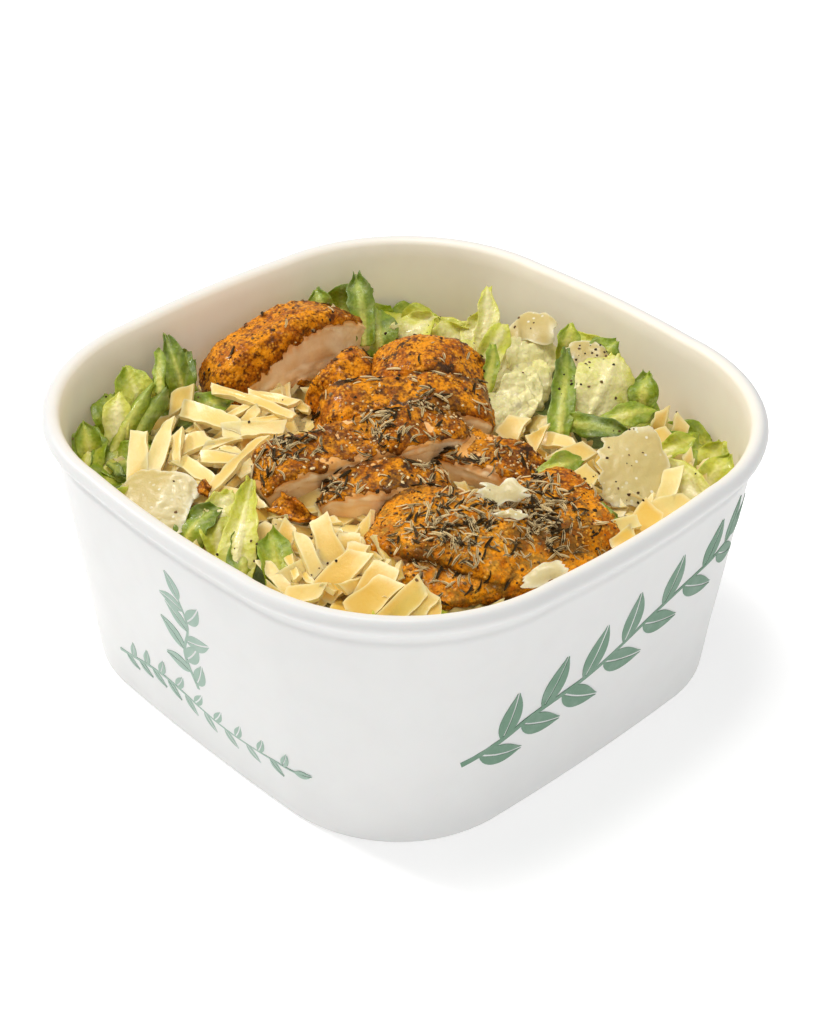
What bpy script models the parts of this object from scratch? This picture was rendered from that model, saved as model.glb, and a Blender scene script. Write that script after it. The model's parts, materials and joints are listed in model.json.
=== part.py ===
"""A chicken caesar salad in its square paper bowl: metres, +Z up, origin under the bowl's centre.

The bowl is one lofted shell. The salad is one heap: a bare core with leaves and cheese slabs fused on.
Ten strips of grilled chicken and seven parmesan shavings lie on it as pieces of their own.
"""

import math
import random

import bmesh
import bpy
from mathutils import Matrix, Vector, noise
from mathutils.bvhtree import BVHTree

MM = 0.001
GAP = 0.35 * MM
WELD = 0.002 * MM
GOLDEN_ANGLE = math.radians(137.508)

# Paper bowl
BOWL_HEIGHT = 80.0 * MM
RIM_HALF_WIDTH = 86.0 * MM
RIM_CORNER = 56.5 * MM
BASE_HALF_WIDTH = 73.4 * MM
BASE_CORNER = 39.4 * MM
BASE_BULGE = 0.8 * MM
RIM_BULGE = 1.4 * MM
BEAD_RADIUS = 2.5 * MM
PAPER = 0.8 * MM
SKIRT_WALL = 1.6 * MM
SKIRT_HEIGHT = 6.0 * MM
TAPER_FROM = 48.0 * MM
TAPER_TO = 72.0 * MM
CORNER_STEPS = 7
SIDE_STEPS = 4

# Bare core of the heap, with low piles (x, y, radius, rise in mm) where the salad stands highest
CORE_LEVEL = 52.0 * MM
CORE_CROWN = 4.0 * MM
CORE_NEAR_RISE = 4.0 * MM
CORE_BUMP = 1.2 * MM
BUMP_SIZE = 13.0 * MM
CORE_RINGS = 6
PILES = ((-42, -40, 24, 5), (36, -48, 20, 4), (50, 46, 22, 5), (0, 58, 22, 5), (-50, 50, 22, 4))

# Romaine leaves: root end, tip (mm), width, arch, turn (degrees) and ruffle
LEAVES = (
    ((-54, -60, 57), (-76, -25, 71), 10, 3, 10, 0.6),
    ((-69, -20, 58), (-77, -22, 75), 15, 2, 30, 1.0),
    ((-62, -58, 57), (-75, -43, 67), 14, 2, 10, 1.6),
    ((-67, -44, 58), (-74, -31, 69), 13, 2, 20, 1.6),
    ((3, -66, 58), (-11, -45, 70), 13, 3, 0, 0.8),
    ((-13, -66, 58), (-10, -52, 65), 13, 2, -20, 1.6),
    ((20, -60, 57), (5, -54, 65), 9, 2, 20, 1.2),
    ((-69, 28, 60), (-64, 46, 75), 17, 2, 20, 1.6),
    ((-49, 36, 60), (-59, 44, 71), 12, 2, 10, 1.4),
    ((-48, 42, 60), (-43, 53, 71), 15, 2, 0, 1.8),
    ((-30, 55, 58), (-34, 66, 76), 11, 2, 10, 1.2),
    ((-22, 53, 58), (-25, 67, 69), 15, 2, -10, 1.8),
    ((1, 40, 57), (-14, 64, 63), 19, 4, 0, 2.2),
    ((18, 45, 57), (-3, 68, 74), 11, 4, 20, 1.4),
    ((27, 51, 58), (8, 67, 73), 21, 4, 0, 2.4),
    ((36, 57, 58), (22, 70, 72), 17, 3, -20, 2.0),
    ((15, 51, 60), (35, 55, 61), 10, 3, 20, 1.4),
    ((49, 54, 58), (51, 63, 66), 9, 2, 0, 1.2),
    ((63, 52, 58), (64, 60, 68), 10, 2, 0, 1.2),
)

# Large cheese slabs: both ends (mm), width, arch, turn (degrees) and ruffle
SLABS = (
    ((-61, -31, 62), (-27, -20, 66), 12, 2, 0, 0.3),
    ((-61, -16, 62), (-30, -9, 66), 5, 1, 0, 0.2),
    ((-17, -57, 65), (-29, -28, 65), 4, 1, 0, 0.2),
    ((-45, -60, 60), (-53, -49, 67), 7, 1, 0, 0.3),
    ((-43, -54, 60), (-50, -40, 68), 8, 1, 10, 0.3),
    ((-39, -50, 61), (-47, -41, 66), 4, 1, 20, 0.3),
    ((-43, -42, 60), (-37, -27, 63), 11, 2, 0, 0.4),
    ((8, -46, 65), (21, -53, 61), 11, 2, 10, 0.4),
    ((32, -59, 60), (27, -43, 66), 14, 2, 10, 0.3),
    ((40, -56, 60), (34, -41, 67), 14, 2, 12, 0.3),
    ((46, -52, 60), (43, -42, 66), 12, 2, 14, 0.3),
    ((32, 58, 62), (43, 68, 61), 10, 1, 0, 0.3),
    ((67, 25, 60), (68, 38, 62), 12, 1, 0, 0.3),
    ((12, 30, 61), (20, 30, 65), 9, 2, 0, 0.3),
    ((26, 27, 62), (34, 38, 64), 7, 1, 0, 0.4),
)

# Small cheese flakes, spread by the golden angle
FLAKE_COUNT = 104
FLAKE_LENGTH = (11.0 * MM, 18.0 * MM)
FLAKE_WIDTH = (5.0 * MM, 8.0 * MM)
FLAKE_TILT = (-3.0 * MM, 6.0 * MM)
FLAKE_RISE = (0.4 * MM, 2.8 * MM)
LEAF_THICKNESS = 1.2 * MM
SLAB_THICKNESS = 1.8 * MM
ROOT_DEPTH = 1.5 * MM

# Parmesan shavings: name, both ends (mm), width, arch and turn
SHAVINGS = (
    ("shaving_front_left", (-41, -67, 63), (-19, -60, 65), 19, 2, -6),
    ("shaving_right", (56, 30, 65), (45, 45, 75), 19, 1.5, 6),
    ("shaving_back", (-23, 66, 64), (-10, 70, 66), 11, 1, 0),
    ("shaving_clump", (5, 58, 74), (17, 64, 72), 13, 1, 0),
    ("shaving_centre", (37, -8, 74), (45, 0, 74), 7, 0, 0),
    ("shaving_sliver", (45, -10, 72), (50, -5, 72), 3, 0, 0),
    ("shaving_low_front", (62, -17, 66), (66, -7, 68), 5, 0, 0),
)
SHAVING_THICKNESS = 1.0 * MM

# Strips of chicken breast: name, both ends of the crust's mid-line (mm), width across the knife cuts (mm),
# depth below the crust (mm), roll (degrees), bluntness of the ends, sag of the ends (mm) and herb flakes.
CHICKEN = (
    ("chicken_cut_end", (-68, -16, 74), (-61, 35, 79), 18, 21, -12, 2.2, 4, 8),
    ("chicken_back_low", (-31, 2, 71), (-36, 27, 74), 14, 18, 30, 2.6, 3, 3),
    ("chicken_back_top", (-27, 14, 81), (-2, 37, 77), 18, 24, 14, 3.2, 5, 8),
    ("chicken_upper", (-23, -10, 76), (6, 28, 76), 16, 20, 14, 4.5, 3, 10),
    ("chicken_long", (-14, -40, 72), (8, 15, 75), 17.5, 17, 12, 6.0, 1, 18),
    ("chicken_middle", (-1, -30, 69), (22, -5, 70), 16, 15, 6, 5.0, 1, 12),
    ("chicken_centre", (8, 8, 70), (35, 20, 66), 17, 15, 6, 5.0, 1, 10),
    ("chicken_right", (34, 12, 70), (65, 6, 66), 25, 14, 0, 5.0, 1, 16),
    ("chicken_front", (18, -28, 69), (56, -12, 70), 26, 14, 10, 4.5, 2, 22),
    ("chicken_low_front", (43, -41, 63), (67, 6, 65), 17, 16, 24, 4.0, 1, 6),
)

# Herb flakes pressed into the crust
HERB_LENGTH = (3.0 * MM, 5.0 * MM)
HERB_WIDTH = 1.1 * MM
HERB_HEIGHT = 1.1 * MM
HERB_SINK = 0.15 * MM
HERB_CLEARANCE = 1.2 * MM


def material(name, colour, roughness, subsurface=0.0):
    """One Principled finish."""
    made = bpy.data.materials.new(name)
    made.use_nodes = True
    shader = made.node_tree.nodes["Principled BSDF"]
    shader.inputs["Base Color"].default_value = (*colour, 1.0)
    shader.inputs["Roughness"].default_value = roughness
    shader.inputs["Metallic"].default_value = 0.0
    shader.inputs["Subsurface Weight"].default_value = subsurface
    made.diffuse_color = (*colour, 1.0)
    return made


def wall_at(z, inset=0.0):
    """Half width and corner radius of the bowl's outer wall at height z, less an inset."""
    t = min(1.0, max(0.0, z / (BOWL_HEIGHT - 2 * BEAD_RADIUS)))
    half = BASE_HALF_WIDTH + (RIM_HALF_WIDTH - BEAD_RADIUS - BASE_HALF_WIDTH) * t
    corner = BASE_CORNER + (RIM_CORNER - BEAD_RADIUS - BASE_CORNER) * t
    return half - inset, corner - inset


def lining_at(z):
    """Thickness of the paper at height z: it thickens towards the rolled rim."""
    t = min(1.0, max(0.0, (z - TAPER_FROM) / (TAPER_TO - TAPER_FROM)))
    return PAPER + (BEAD_RADIUS - PAPER) * t


def rounded_square(z, inset=0.0):
    """One level of the bowl: a square with round corners and slightly swelling sides."""
    half, corner = wall_at(z, inset)
    bulge = BASE_BULGE + (RIM_BULGE - BASE_BULGE) * z / BOWL_HEIGHT
    points = []
    for quarter in range(4):
        turn = Matrix.Rotation(quarter * math.pi / 2, 3, "Z")
        for k in range(CORNER_STEPS):
            a = k / (CORNER_STEPS - 1) * math.pi / 2
            x = half - corner + corner * math.cos(a)
            y = half - corner + corner * math.sin(a)
            points.append(turn @ Vector((x, y, z)))
        for k in range(1, SIDE_STEPS):
            t = k / SIDE_STEPS
            x = (half - corner) * (1 - 2 * t)
            y = half + bulge * 4 * t * (1 - t)
            points.append(turn @ Vector((x, y, z)))
    return points


def loft(rings):
    """A closed mesh skinned over rings of equal length."""
    mesh = bmesh.new()
    made = [[mesh.verts.new(p) for p in ring] for ring in rings]
    for low, high in zip(made, made[1:]):
        count = len(low)
        for k in range(count):
            mesh.faces.new((low[k], low[(k + 1) % count], high[(k + 1) % count], high[k]))
    mesh.faces.new(list(reversed(made[0])))
    mesh.faces.new(made[-1])
    bmesh.ops.recalc_face_normals(mesh, faces=mesh.faces)
    bmesh.ops.triangulate(mesh, faces=mesh.faces)
    return mesh


def add_object(name, mesh, finish, collection):
    """Stores a bmesh as a named object."""
    data = bpy.data.meshes.new(name)
    mesh.to_mesh(data)
    mesh.free()
    made = bpy.data.objects.new(name, data)
    made.data.materials.append(finish)
    collection.objects.link(made)
    return made


def tree_of(mesh):
    """A search tree over a bmesh."""
    return BVHTree.FromBMesh(mesh)


def object_tree(made):
    """A search tree over a finished object."""
    mesh = bmesh.new()
    mesh.from_mesh(made.data)
    tree = tree_of(mesh)
    mesh.free()
    return tree


def is_inside(tree, point):
    """True if the point lies behind the nearest face of a closed shape."""
    hit, normal, _, _ = tree.find_nearest(point)
    return (point - hit).dot(normal) < 0


def meets(mesh, trees):
    """True if a small shape crosses, or lies in, one of the shapes."""
    own = tree_of(mesh)
    mesh.verts.ensure_lookup_table()
    first = mesh.verts[0].co
    return any(own.overlap(tree) or is_inside(tree, first) for tree in trees)


def build_bowl(finish, collection):
    """The bowl: a tapering square wall, a rolled rim and a floor set above a folded skirt."""
    profile = [(SKIRT_WALL, SKIRT_HEIGHT), (SKIRT_WALL, 0.0)]
    profile += [(0.0, BOWL_HEIGHT * share) for share in (0.0, 0.3, 0.6, 0.87)]
    for degrees in range(-80, 161, 40):
        a = math.radians(degrees)
        z = BOWL_HEIGHT - BEAD_RADIUS + BEAD_RADIUS * math.sin(a)
        profile.append((-BEAD_RADIUS * math.cos(a), z))
    profile += [(lining_at(z), z) for z in (TAPER_TO, TAPER_FROM, SKIRT_HEIGHT + PAPER)]
    rings = [rounded_square(z, inset) for inset, z in profile]
    return add_object("bowl", loft(rings), finish, collection)


def core_height(x, y):
    """The bare core's top: a low crown, higher towards the near corner, with piles and soft bumps."""
    reach = math.hypot(x, y) / RIM_HALF_WIDTH
    near = (x - y) / (2 * RIM_HALF_WIDTH)
    bump = noise.noise(Vector((x, y, 0.0)) / BUMP_SIZE)
    height = CORE_LEVEL + CORE_CROWN * max(0.0, 1 - reach**2) + CORE_NEAR_RISE * near + CORE_BUMP * bump
    for pile_x, pile_y, radius, rise in PILES:
        away = math.hypot(x / MM - pile_x, y / MM - pile_y) / radius
        height += rise * MM * math.exp(-(away**2))
    return height


def core_ring(share, clear):
    """One ring over the core's top, share of the way out to the wall."""
    flat = rounded_square(CORE_LEVEL, lining_at(CORE_LEVEL) + clear)
    points = []
    for k, p in enumerate(flat):
        height = core_height(p.x * share, p.y * share)
        wall = rounded_square(height, lining_at(height) + clear)[k]
        points.append(Vector((wall.x * share, wall.y * share, height)))
    return points


def build_core(grow, finish, collection):
    """The heap's core: it fills the bowl up to the salad, a hair clear of the paper."""
    clear = GAP - grow
    floor = SKIRT_HEIGHT + PAPER + clear
    rings = [rounded_square(z, PAPER + clear) for z in (floor, TAPER_FROM)]
    rings += [core_ring(1 - k / CORE_RINGS, clear) for k in range(CORE_RINGS)]
    for ring in rings[2:]:
        for p in ring:
            p.z += grow
    return add_object("salad_heap", loft(rings), finish, collection)


def keep_in_bowl(point, margin):
    """Moves a point that is past the bowl's inner wall, less a margin, back to it."""
    half, corner = wall_at(point.z, lining_at(point.z) + GAP + margin)
    core = half - corner
    over = Vector((max(0.0, abs(point.x) - core), max(0.0, abs(point.y) - core)))
    if over.length <= corner:
        return point
    over = over.normalized() * corner
    x = math.copysign(min(abs(point.x), core) + over.x, point.x)
    y = math.copysign(min(abs(point.y), core) + over.y, point.y)
    return Vector((x, y, point.z))


def sheet(start, end, width, arch, turn, ruffle, thickness, profile, steps, across, phase):
    """A thin closed solid between two points: both faces are split into triangles alike."""
    along = (end - start).normalized()
    upward = Vector((0.35, -0.35, 0.87))
    side = upward.cross(along).normalized()
    side = Matrix.Rotation(math.radians(turn), 3, along) @ side
    facing = along.cross(side)
    grid = []
    for i in range(steps + 1):
        s = i / steps
        middle = start.lerp(end, s) + facing * arch * 4 * s * (1 - s)
        half = width / 2 * profile(s, phase)
        row = []
        for j in range(across + 1):
            t = 2 * j / across - 1
            wave = ruffle * math.sin(7.5 * s + 2.1 * t + phase) * (0.4 + 0.6 * t * t)
            row.append(keep_in_bowl(middle + side * half * t + facing * wave, thickness))
        grid.append(row)
    mesh = bmesh.new()
    faces = []
    for offset in (thickness / 2, -thickness / 2):
        faces.append([[mesh.verts.new(p + facing * offset) for p in row] for row in grid])
    top, bottom = faces
    for i in range(steps):
        for j in range(across):
            for layer in (top, bottom):
                mesh.faces.new((layer[i][j], layer[i + 1][j], layer[i + 1][j + 1]))
                mesh.faces.new((layer[i][j], layer[i + 1][j + 1], layer[i][j + 1]))
    upper, lower = outline(top), outline(bottom)
    for k in range(len(upper)):
        n = (k + 1) % len(upper)
        mesh.faces.new((upper[k], upper[n], lower[n]))
        mesh.faces.new((upper[k], lower[n], lower[k]))
    bmesh.ops.recalc_face_normals(mesh, faces=mesh.faces)
    return mesh


def outline(grid):
    """The vertices round the edge of a grid, in order."""
    edge = [row[0] for row in grid]
    edge += grid[-1][1:]
    edge += [row[-1] for row in reversed(grid[:-1])]
    edge += list(reversed(grid[0][1:-1]))
    return edge


def leaf_profile(s, phase):
    """Share of a leaf's width: narrow at the rib, full past the middle, with a torn edge."""
    return 0.45 + 0.55 * math.sin(math.pi * (0.12 + 0.76 * s)) + 0.08 * math.sin(11 * s + phase)


def slab_profile(s, phase):
    """Share of a slab's width: nearly even, cut a little aslant."""
    return 1.0 - 0.18 * s + 0.05 * math.sin(5 * s + phase)


def shaving_profile(s, phase):
    """Share of a shaving's width: ragged, drawn in at both ends."""
    return 0.55 + 0.45 * math.sin(math.pi * (0.1 + 0.8 * s)) ** 0.5 + 0.09 * math.sin(13 * s + phase)


def rooted(point):
    """The point itself, or the one under it just inside the core."""
    return Vector((point.x, point.y, min(point.z, core_height(point.x, point.y) - ROOT_DEPTH)))


def heap_pieces(toppings):
    """Every leaf, slab and flake on the core that clears the toppings, largest first."""
    draw = random.Random(11)
    pieces = []
    rows = [(row, LEAF_THICKNESS, leaf_profile, 6, 3) for row in LEAVES]
    rows += [(row, SLAB_THICKNESS, slab_profile, 3, 1) for row in SLABS]
    for (start, end, width, arch, turn, ruffle), thickness, profile, steps, across in rows:
        root, tip = rooted(Vector(start) * MM), Vector(end) * MM
        phase = draw.uniform(0, 6)
        for share in (1.0, 0.8, 0.6):
            mesh = sheet(root, root.lerp(tip, share), width * share * MM, arch * MM, turn, ruffle * MM,
                         thickness, profile, steps, across, phase)
            if not meets(mesh, toppings):
                pieces.append(mesh)
                break
            mesh.free()
    for k in range(FLAKE_COUNT):
        radius = (RIM_HALF_WIDTH - 10 * MM) * math.sqrt((k + 0.5) / FLAKE_COUNT)
        centre = Vector((math.cos(k * GOLDEN_ANGLE), math.sin(k * GOLDEN_ANGLE), 0.0)) * radius
        centre.z = core_height(centre.x, centre.y) + draw.uniform(*FLAKE_RISE)
        heading = draw.uniform(0, math.tau)
        reach = Vector((math.cos(heading), math.sin(heading), 0.0)) * draw.uniform(*FLAKE_LENGTH) / 2
        reach.z = draw.uniform(*FLAKE_TILT)
        width = draw.uniform(*FLAKE_WIDTH)
        turn = draw.uniform(-25, 25)
        mesh = sheet(centre - reach, centre + reach, width, 0.5 * MM, turn, 0.2 * MM,
                     SLAB_THICKNESS, slab_profile, 2, 1, draw.uniform(0, 6))
        if meets(mesh, toppings):
            mesh.free()
        else:
            pieces.append(mesh)
    return pieces


class Strip:
    """One strip of chicken: a bar with flat cut sides, a domed crust and blunt rounded ends."""

    STATIONS = (-1.0, -0.93, -0.72, -0.4, 0.0, 0.4, 0.72, 0.93, 1.0)
    ANGLES = (-90, -48, -16, 22, 50, 90, 130, 158, 196, 228)

    def __init__(self, name, start, end, width, depth, roll, blunt, sag, herbs):
        self.name = name
        self.herbs = herbs
        self.blunt = blunt
        self.sag = sag * MM
        start, end = Vector(start) * MM, Vector(end) * MM
        self.size = Vector(((end - start).length, width * MM, depth * MM))
        along = (end - start).normalized()
        across = Vector((0, 0, 1)).cross(along).normalized()
        across = Matrix.Rotation(math.radians(roll), 3, along) @ across
        crust = along.cross(across)
        middle = (start + end) / 2 - crust * self.size.z / 2
        self.place = Matrix.Translation(middle) @ Matrix((along, across, crust)).transposed().to_4x4()

    def point(self, s, degrees, grow=0.0):
        """A surface point: s runs from -1 to 1 along the strip, degrees round it with the crust at 90."""
        length, width, height = self.size / 2
        a = math.radians(degrees)
        end = 0.3 + 0.7 * max(0.0, 1 - abs(s) ** self.blunt) ** 0.5
        side = math.copysign(abs(math.cos(a)) ** 0.55, math.cos(a))
        rise = math.copysign(abs(math.sin(a)) ** 0.7, math.sin(a))
        y = (width * (0.6 + 0.4 * end) + grow) * side
        z = (height * end + grow) * rise
        lump = 1 + 0.07 * math.sin(5.1 * s + 1.7 * self.size.x / MM) * (1 if rise > 0 else 0)
        return self.place @ Vector(((length + grow) * s, y, z * lump - self.sag * s * s))

    def mesh(self, grow=0.0):
        """The closed shape, grown by a margin."""
        return loft([[self.point(s, a, grow) for a in self.ANGLES] for s in self.STATIONS])

    def crust_frame(self, s, degrees):
        """A point on the crust with the outward normal and the direction along the strip."""
        here = self.point(s, degrees)
        along = (self.point(s + 0.03, degrees) - here).normalized()
        across = (self.point(s, degrees - 4) - here).normalized()
        return here, across.cross(along).normalized(), along


def apply_boolean(target, operation, others):
    """One Boolean with a collection of other objects, applied, after which those objects are gone."""
    group = bpy.data.collections.new(target.name + "_operands")
    bpy.context.scene.collection.children.link(group)
    for other in others:
        for owner in list(other.users_collection):
            owner.objects.unlink(other)
        group.objects.link(other)
    modifier = target.modifiers.new(operation.lower(), "BOOLEAN")
    modifier.operation = operation
    modifier.operand_type = "COLLECTION"
    modifier.collection = group
    modifier.solver = "EXACT"
    graph = bpy.context.evaluated_depsgraph_get()
    finish = target.data.materials[0]
    result = bpy.data.meshes.new_from_object(target.evaluated_get(graph))
    target.modifiers.remove(modifier)
    target.data = result
    target.data.materials.clear()
    target.data.materials.append(finish)
    for other in list(group.objects):
        bpy.data.objects.remove(other)
    bpy.data.collections.remove(group)
    keep_largest(target)


def keep_largest(target):
    """Welds the seams, then drops the scraps and inner skins that a Boolean left."""
    mesh = bmesh.new()
    mesh.from_mesh(target.data)
    bmesh.ops.remove_doubles(mesh, verts=mesh.verts, dist=WELD)
    bmesh.ops.triangulate(mesh, faces=mesh.faces)
    seen = set()
    islands = []
    for start in mesh.faces:
        if start in seen:
            continue
        island = [start]
        seen.add(start)
        for face in island:
            for edge in face.edges:
                for other in edge.link_faces if len(edge.link_faces) == 2 else ():
                    if other not in seen:
                        seen.add(other)
                        island.append(other)
        islands.append(island)
    islands.sort(key=len, reverse=True)
    loose = [face for island in islands[1:] for face in island]
    bmesh.ops.delete(mesh, geom=loose, context="FACES")
    mesh.to_mesh(target.data)
    mesh.free()


def herb_flake(strip, s, degrees, length, heading):
    """A dried herb flake: a slim four-sided spindle half sunk in the crust."""
    here, normal, along = strip.crust_frame(s, degrees)
    along = Matrix.Rotation(heading, 3, normal) @ along
    side = normal.cross(along)
    rings = []
    for t, share in ((-1.0, 0.3), (-0.2, 1.0), (1.0, 0.3)):
        centre = here + along * length / 2 * t - normal * HERB_SINK
        y, z = side * HERB_WIDTH / 2 * share, normal * HERB_HEIGHT / 2 * share
        rings.append([centre + y, centre + z, centre - y, centre - z])
    return loft(rings)


def add_herbs(made, strip, others, draw, finish, collection):
    """Fuses herb flakes to the crust where nothing else is near."""
    flakes = []
    tries = 0
    while len(flakes) < strip.herbs and tries < 12 * strip.herbs:
        tries += 1
        s = draw.uniform(-0.8, 0.8)
        degrees = draw.uniform(55, 125)
        mesh = herb_flake(strip, s, degrees, draw.uniform(*HERB_LENGTH), draw.uniform(0, math.pi))
        middle = strip.crust_frame(s, degrees)[0]
        near = any((middle - spot).length < HERB_LENGTH[1] + HERB_CLEARANCE for spot, _ in flakes)
        near = near or any(tree.find_nearest(v.co)[3] < HERB_CLEARANCE or is_inside(tree, v.co)
                           for tree in others for v in mesh.verts)
        if near:
            mesh.free()
        else:
            flakes.append((middle, mesh))
    pieces = [add_object(f"flake_{k}", mesh, finish, collection) for k, (_, mesh) in enumerate(flakes)]
    if pieces:
        apply_boolean(made, "UNION", pieces)


def add_shaving(row, below, finish, collection):
    """A parmesan shaving let down until it all but touches what lies below."""
    name, start, end, width, arch, turn = row
    mesh = sheet(Vector(start) * MM, Vector(end) * MM, width * MM, arch * MM, turn, 0.5 * MM,
                 SHAVING_THICKNESS, shaving_profile, 5, 3, 2.0)
    drop = min(clearance(face.calc_center_median(), below) for face in mesh.faces)
    drop = min(drop, min(clearance(v.co, below) for v in mesh.verts))
    bmesh.ops.translate(mesh, verts=mesh.verts, vec=(0, 0, GAP - drop))
    while meets(mesh, below):
        bmesh.ops.translate(mesh, verts=mesh.verts, vec=(0, 0, GAP))
    return add_object(name, mesh, finish, collection)


def clearance(point, below):
    """Free height under a point, measured from the highest surface there."""
    sky = Vector((point.x, point.y, 1.0))
    hits = [tree.ray_cast(sky, Vector((0, 0, -1)))[0] for tree in below]
    return point.z - max(hit.z for hit in hits if hit)


def main():
    """Builds every piece."""
    for old in list(bpy.data.objects):
        bpy.data.objects.remove(old)
    parts = bpy.data.collections.new("chicken_caesar_salad")
    bpy.context.scene.collection.children.link(parts)
    paper = material("paper", (0.90, 0.90, 0.89), 0.55)
    chicken = material("chicken", (0.72, 0.36, 0.10), 0.55, 0.1)
    salad = material("salad", (0.74, 0.72, 0.38), 0.5, 0.1)
    cheese = material("cheese", (0.88, 0.84, 0.70), 0.5, 0.1)
    build_bowl(paper, parts)
    draw = random.Random(5)
    strips = [Strip(*row) for row in CHICKEN]
    made = []
    for k, strip in enumerate(strips):
        piece = add_object(strip.name, strip.mesh(), chicken, parts)
        cutters = [build_core(GAP, salad, parts)]
        for other in strips[k + 1:]:
            cutters.append(add_object(other.name + "_cutter", other.mesh(GAP), chicken, parts))
        for cutter in cutters:
            cutter.hide_render = True
            cutter.display_type = "WIRE"
        apply_boolean(piece, "DIFFERENCE", cutters)
        made.append(piece)
    grown = [tree_of(strip.mesh(2 * GAP)) for strip in strips]
    heap = build_core(0.0, salad, parts)
    pieces = [add_object(f"piece_{k}", mesh, salad, parts) for k, mesh in enumerate(heap_pieces(grown))]
    apply_boolean(heap, "UNION", pieces)
    heap_tree = object_tree(heap)
    for piece, strip in zip(made, strips):
        others = [tree for tree, other in zip(grown, strips) if other is not strip]
        add_herbs(piece, strip, others + [heap_tree], draw, chicken, parts)
    below = [heap_tree] + [object_tree(piece) for piece in made]
    for row in SHAVINGS:
        add_shaving(row, below, cheese, parts)


main()
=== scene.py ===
"""A chicken caesar salad in its square paper bowl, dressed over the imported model's frame."""

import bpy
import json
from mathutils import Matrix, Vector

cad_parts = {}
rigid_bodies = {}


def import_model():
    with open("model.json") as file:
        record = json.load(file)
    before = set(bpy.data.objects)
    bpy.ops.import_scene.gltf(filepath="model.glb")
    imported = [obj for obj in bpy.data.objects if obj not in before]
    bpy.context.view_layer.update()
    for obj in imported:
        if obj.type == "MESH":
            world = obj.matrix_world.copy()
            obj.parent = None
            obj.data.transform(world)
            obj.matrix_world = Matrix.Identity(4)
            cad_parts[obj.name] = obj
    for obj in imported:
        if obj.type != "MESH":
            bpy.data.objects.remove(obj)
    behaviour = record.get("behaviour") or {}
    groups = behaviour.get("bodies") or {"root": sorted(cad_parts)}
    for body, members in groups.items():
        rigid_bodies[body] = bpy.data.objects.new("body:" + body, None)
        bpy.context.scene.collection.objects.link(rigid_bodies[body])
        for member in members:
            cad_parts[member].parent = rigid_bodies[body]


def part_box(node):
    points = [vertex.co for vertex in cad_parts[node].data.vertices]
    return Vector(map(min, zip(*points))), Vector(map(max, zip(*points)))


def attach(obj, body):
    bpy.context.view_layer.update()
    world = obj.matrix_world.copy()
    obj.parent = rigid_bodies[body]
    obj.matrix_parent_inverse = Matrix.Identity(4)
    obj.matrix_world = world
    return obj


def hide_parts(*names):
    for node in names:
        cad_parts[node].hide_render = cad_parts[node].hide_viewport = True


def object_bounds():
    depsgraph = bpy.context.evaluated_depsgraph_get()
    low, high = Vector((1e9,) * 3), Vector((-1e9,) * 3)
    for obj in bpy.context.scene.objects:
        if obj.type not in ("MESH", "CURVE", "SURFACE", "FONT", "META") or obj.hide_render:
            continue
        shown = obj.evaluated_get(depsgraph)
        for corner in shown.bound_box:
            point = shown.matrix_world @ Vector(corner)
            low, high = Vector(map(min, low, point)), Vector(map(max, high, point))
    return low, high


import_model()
CAD_BOX = [list(corner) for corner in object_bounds()]

import json
import logging
import math
import random
from dataclasses import dataclass, field, replace
from enum import Enum
from typing import Any, Sequence

import bmesh
import bpy
import numpy as np
from mathutils import Matrix, Vector, noise

log = logging.getLogger("salad")

MM = 0.001
BODY = "root"
GOLDEN_ANGLE = math.radians(137.508)
SMOOTH = 180.0  # degrees: no edge of the piece is sharp
CUT_EDGE = 42.0  # degrees past which a cut piece's edge is sharp
Colour = tuple[float, float, float]
Triple = tuple[float, float, float]


# Shader and geometry node helpers


class Value:
    """A node socket that takes part in Python arithmetic."""

    def __init__(self, graph: "Graph", socket: Any) -> None:
        """Wraps an output socket of the graph."""
        self.graph = graph
        self.socket = socket

    def _math(self, operation: str, *values: Any) -> "Value":
        """Adds one Math node over these values."""
        return self.graph.node(self.graph.math_node, {"operation": operation}, dict(enumerate(values))).out(0)

    def __add__(self, other: Any) -> "Value":
        """Sum."""
        return self._math("ADD", self, other)

    __radd__ = __add__

    def __mul__(self, other: Any) -> "Value":
        """Product."""
        return self._math("MULTIPLY", self, other)

    __rmul__ = __mul__

    def __sub__(self, other: Any) -> "Value":
        """Difference."""
        return self._math("SUBTRACT", self, other)

    def __rsub__(self, other: Any) -> "Value":
        """Reflected difference."""
        return self._math("SUBTRACT", other, self)

    def __truediv__(self, other: Any) -> "Value":
        """Quotient."""
        return self._math("DIVIDE", self, other)

    def __pow__(self, other: Any) -> "Value":
        """Power."""
        return self._math("POWER", self, other)

    def most(self, other: Any) -> "Value":
        """The larger of two values."""
        return self._math("MAXIMUM", self, other)

    def clamp(self) -> "Value":
        """The value kept between 0 and 1."""
        return self._math("MINIMUM", self.most(0.0), 1.0)

    def ramp(self, low: float, high: float) -> "Value":
        """A smooth step from 0 at low to 1 at high.

        Args:
            low: value that gives 0.
            high: value that gives 1; it may be the smaller one.
        Returns:
            The stepped value.
        """
        if low > high:
            return 1.0 - self.ramp(high, low)
        inputs = {"Value": self, "From Min": low, "From Max": high}
        return self.graph.node("ShaderNodeMapRange", {"interpolation_type": "SMOOTHSTEP"}, inputs).out(0)


class Made:
    """A node that was added to a graph."""

    def __init__(self, graph: "Graph", node: Any) -> None:
        """Keeps the node with its graph."""
        self.graph = graph
        self.raw = node

    def out(self, key: Any) -> Value:
        """One output as a value."""
        return Value(self.graph, self.raw.outputs[key])


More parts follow.
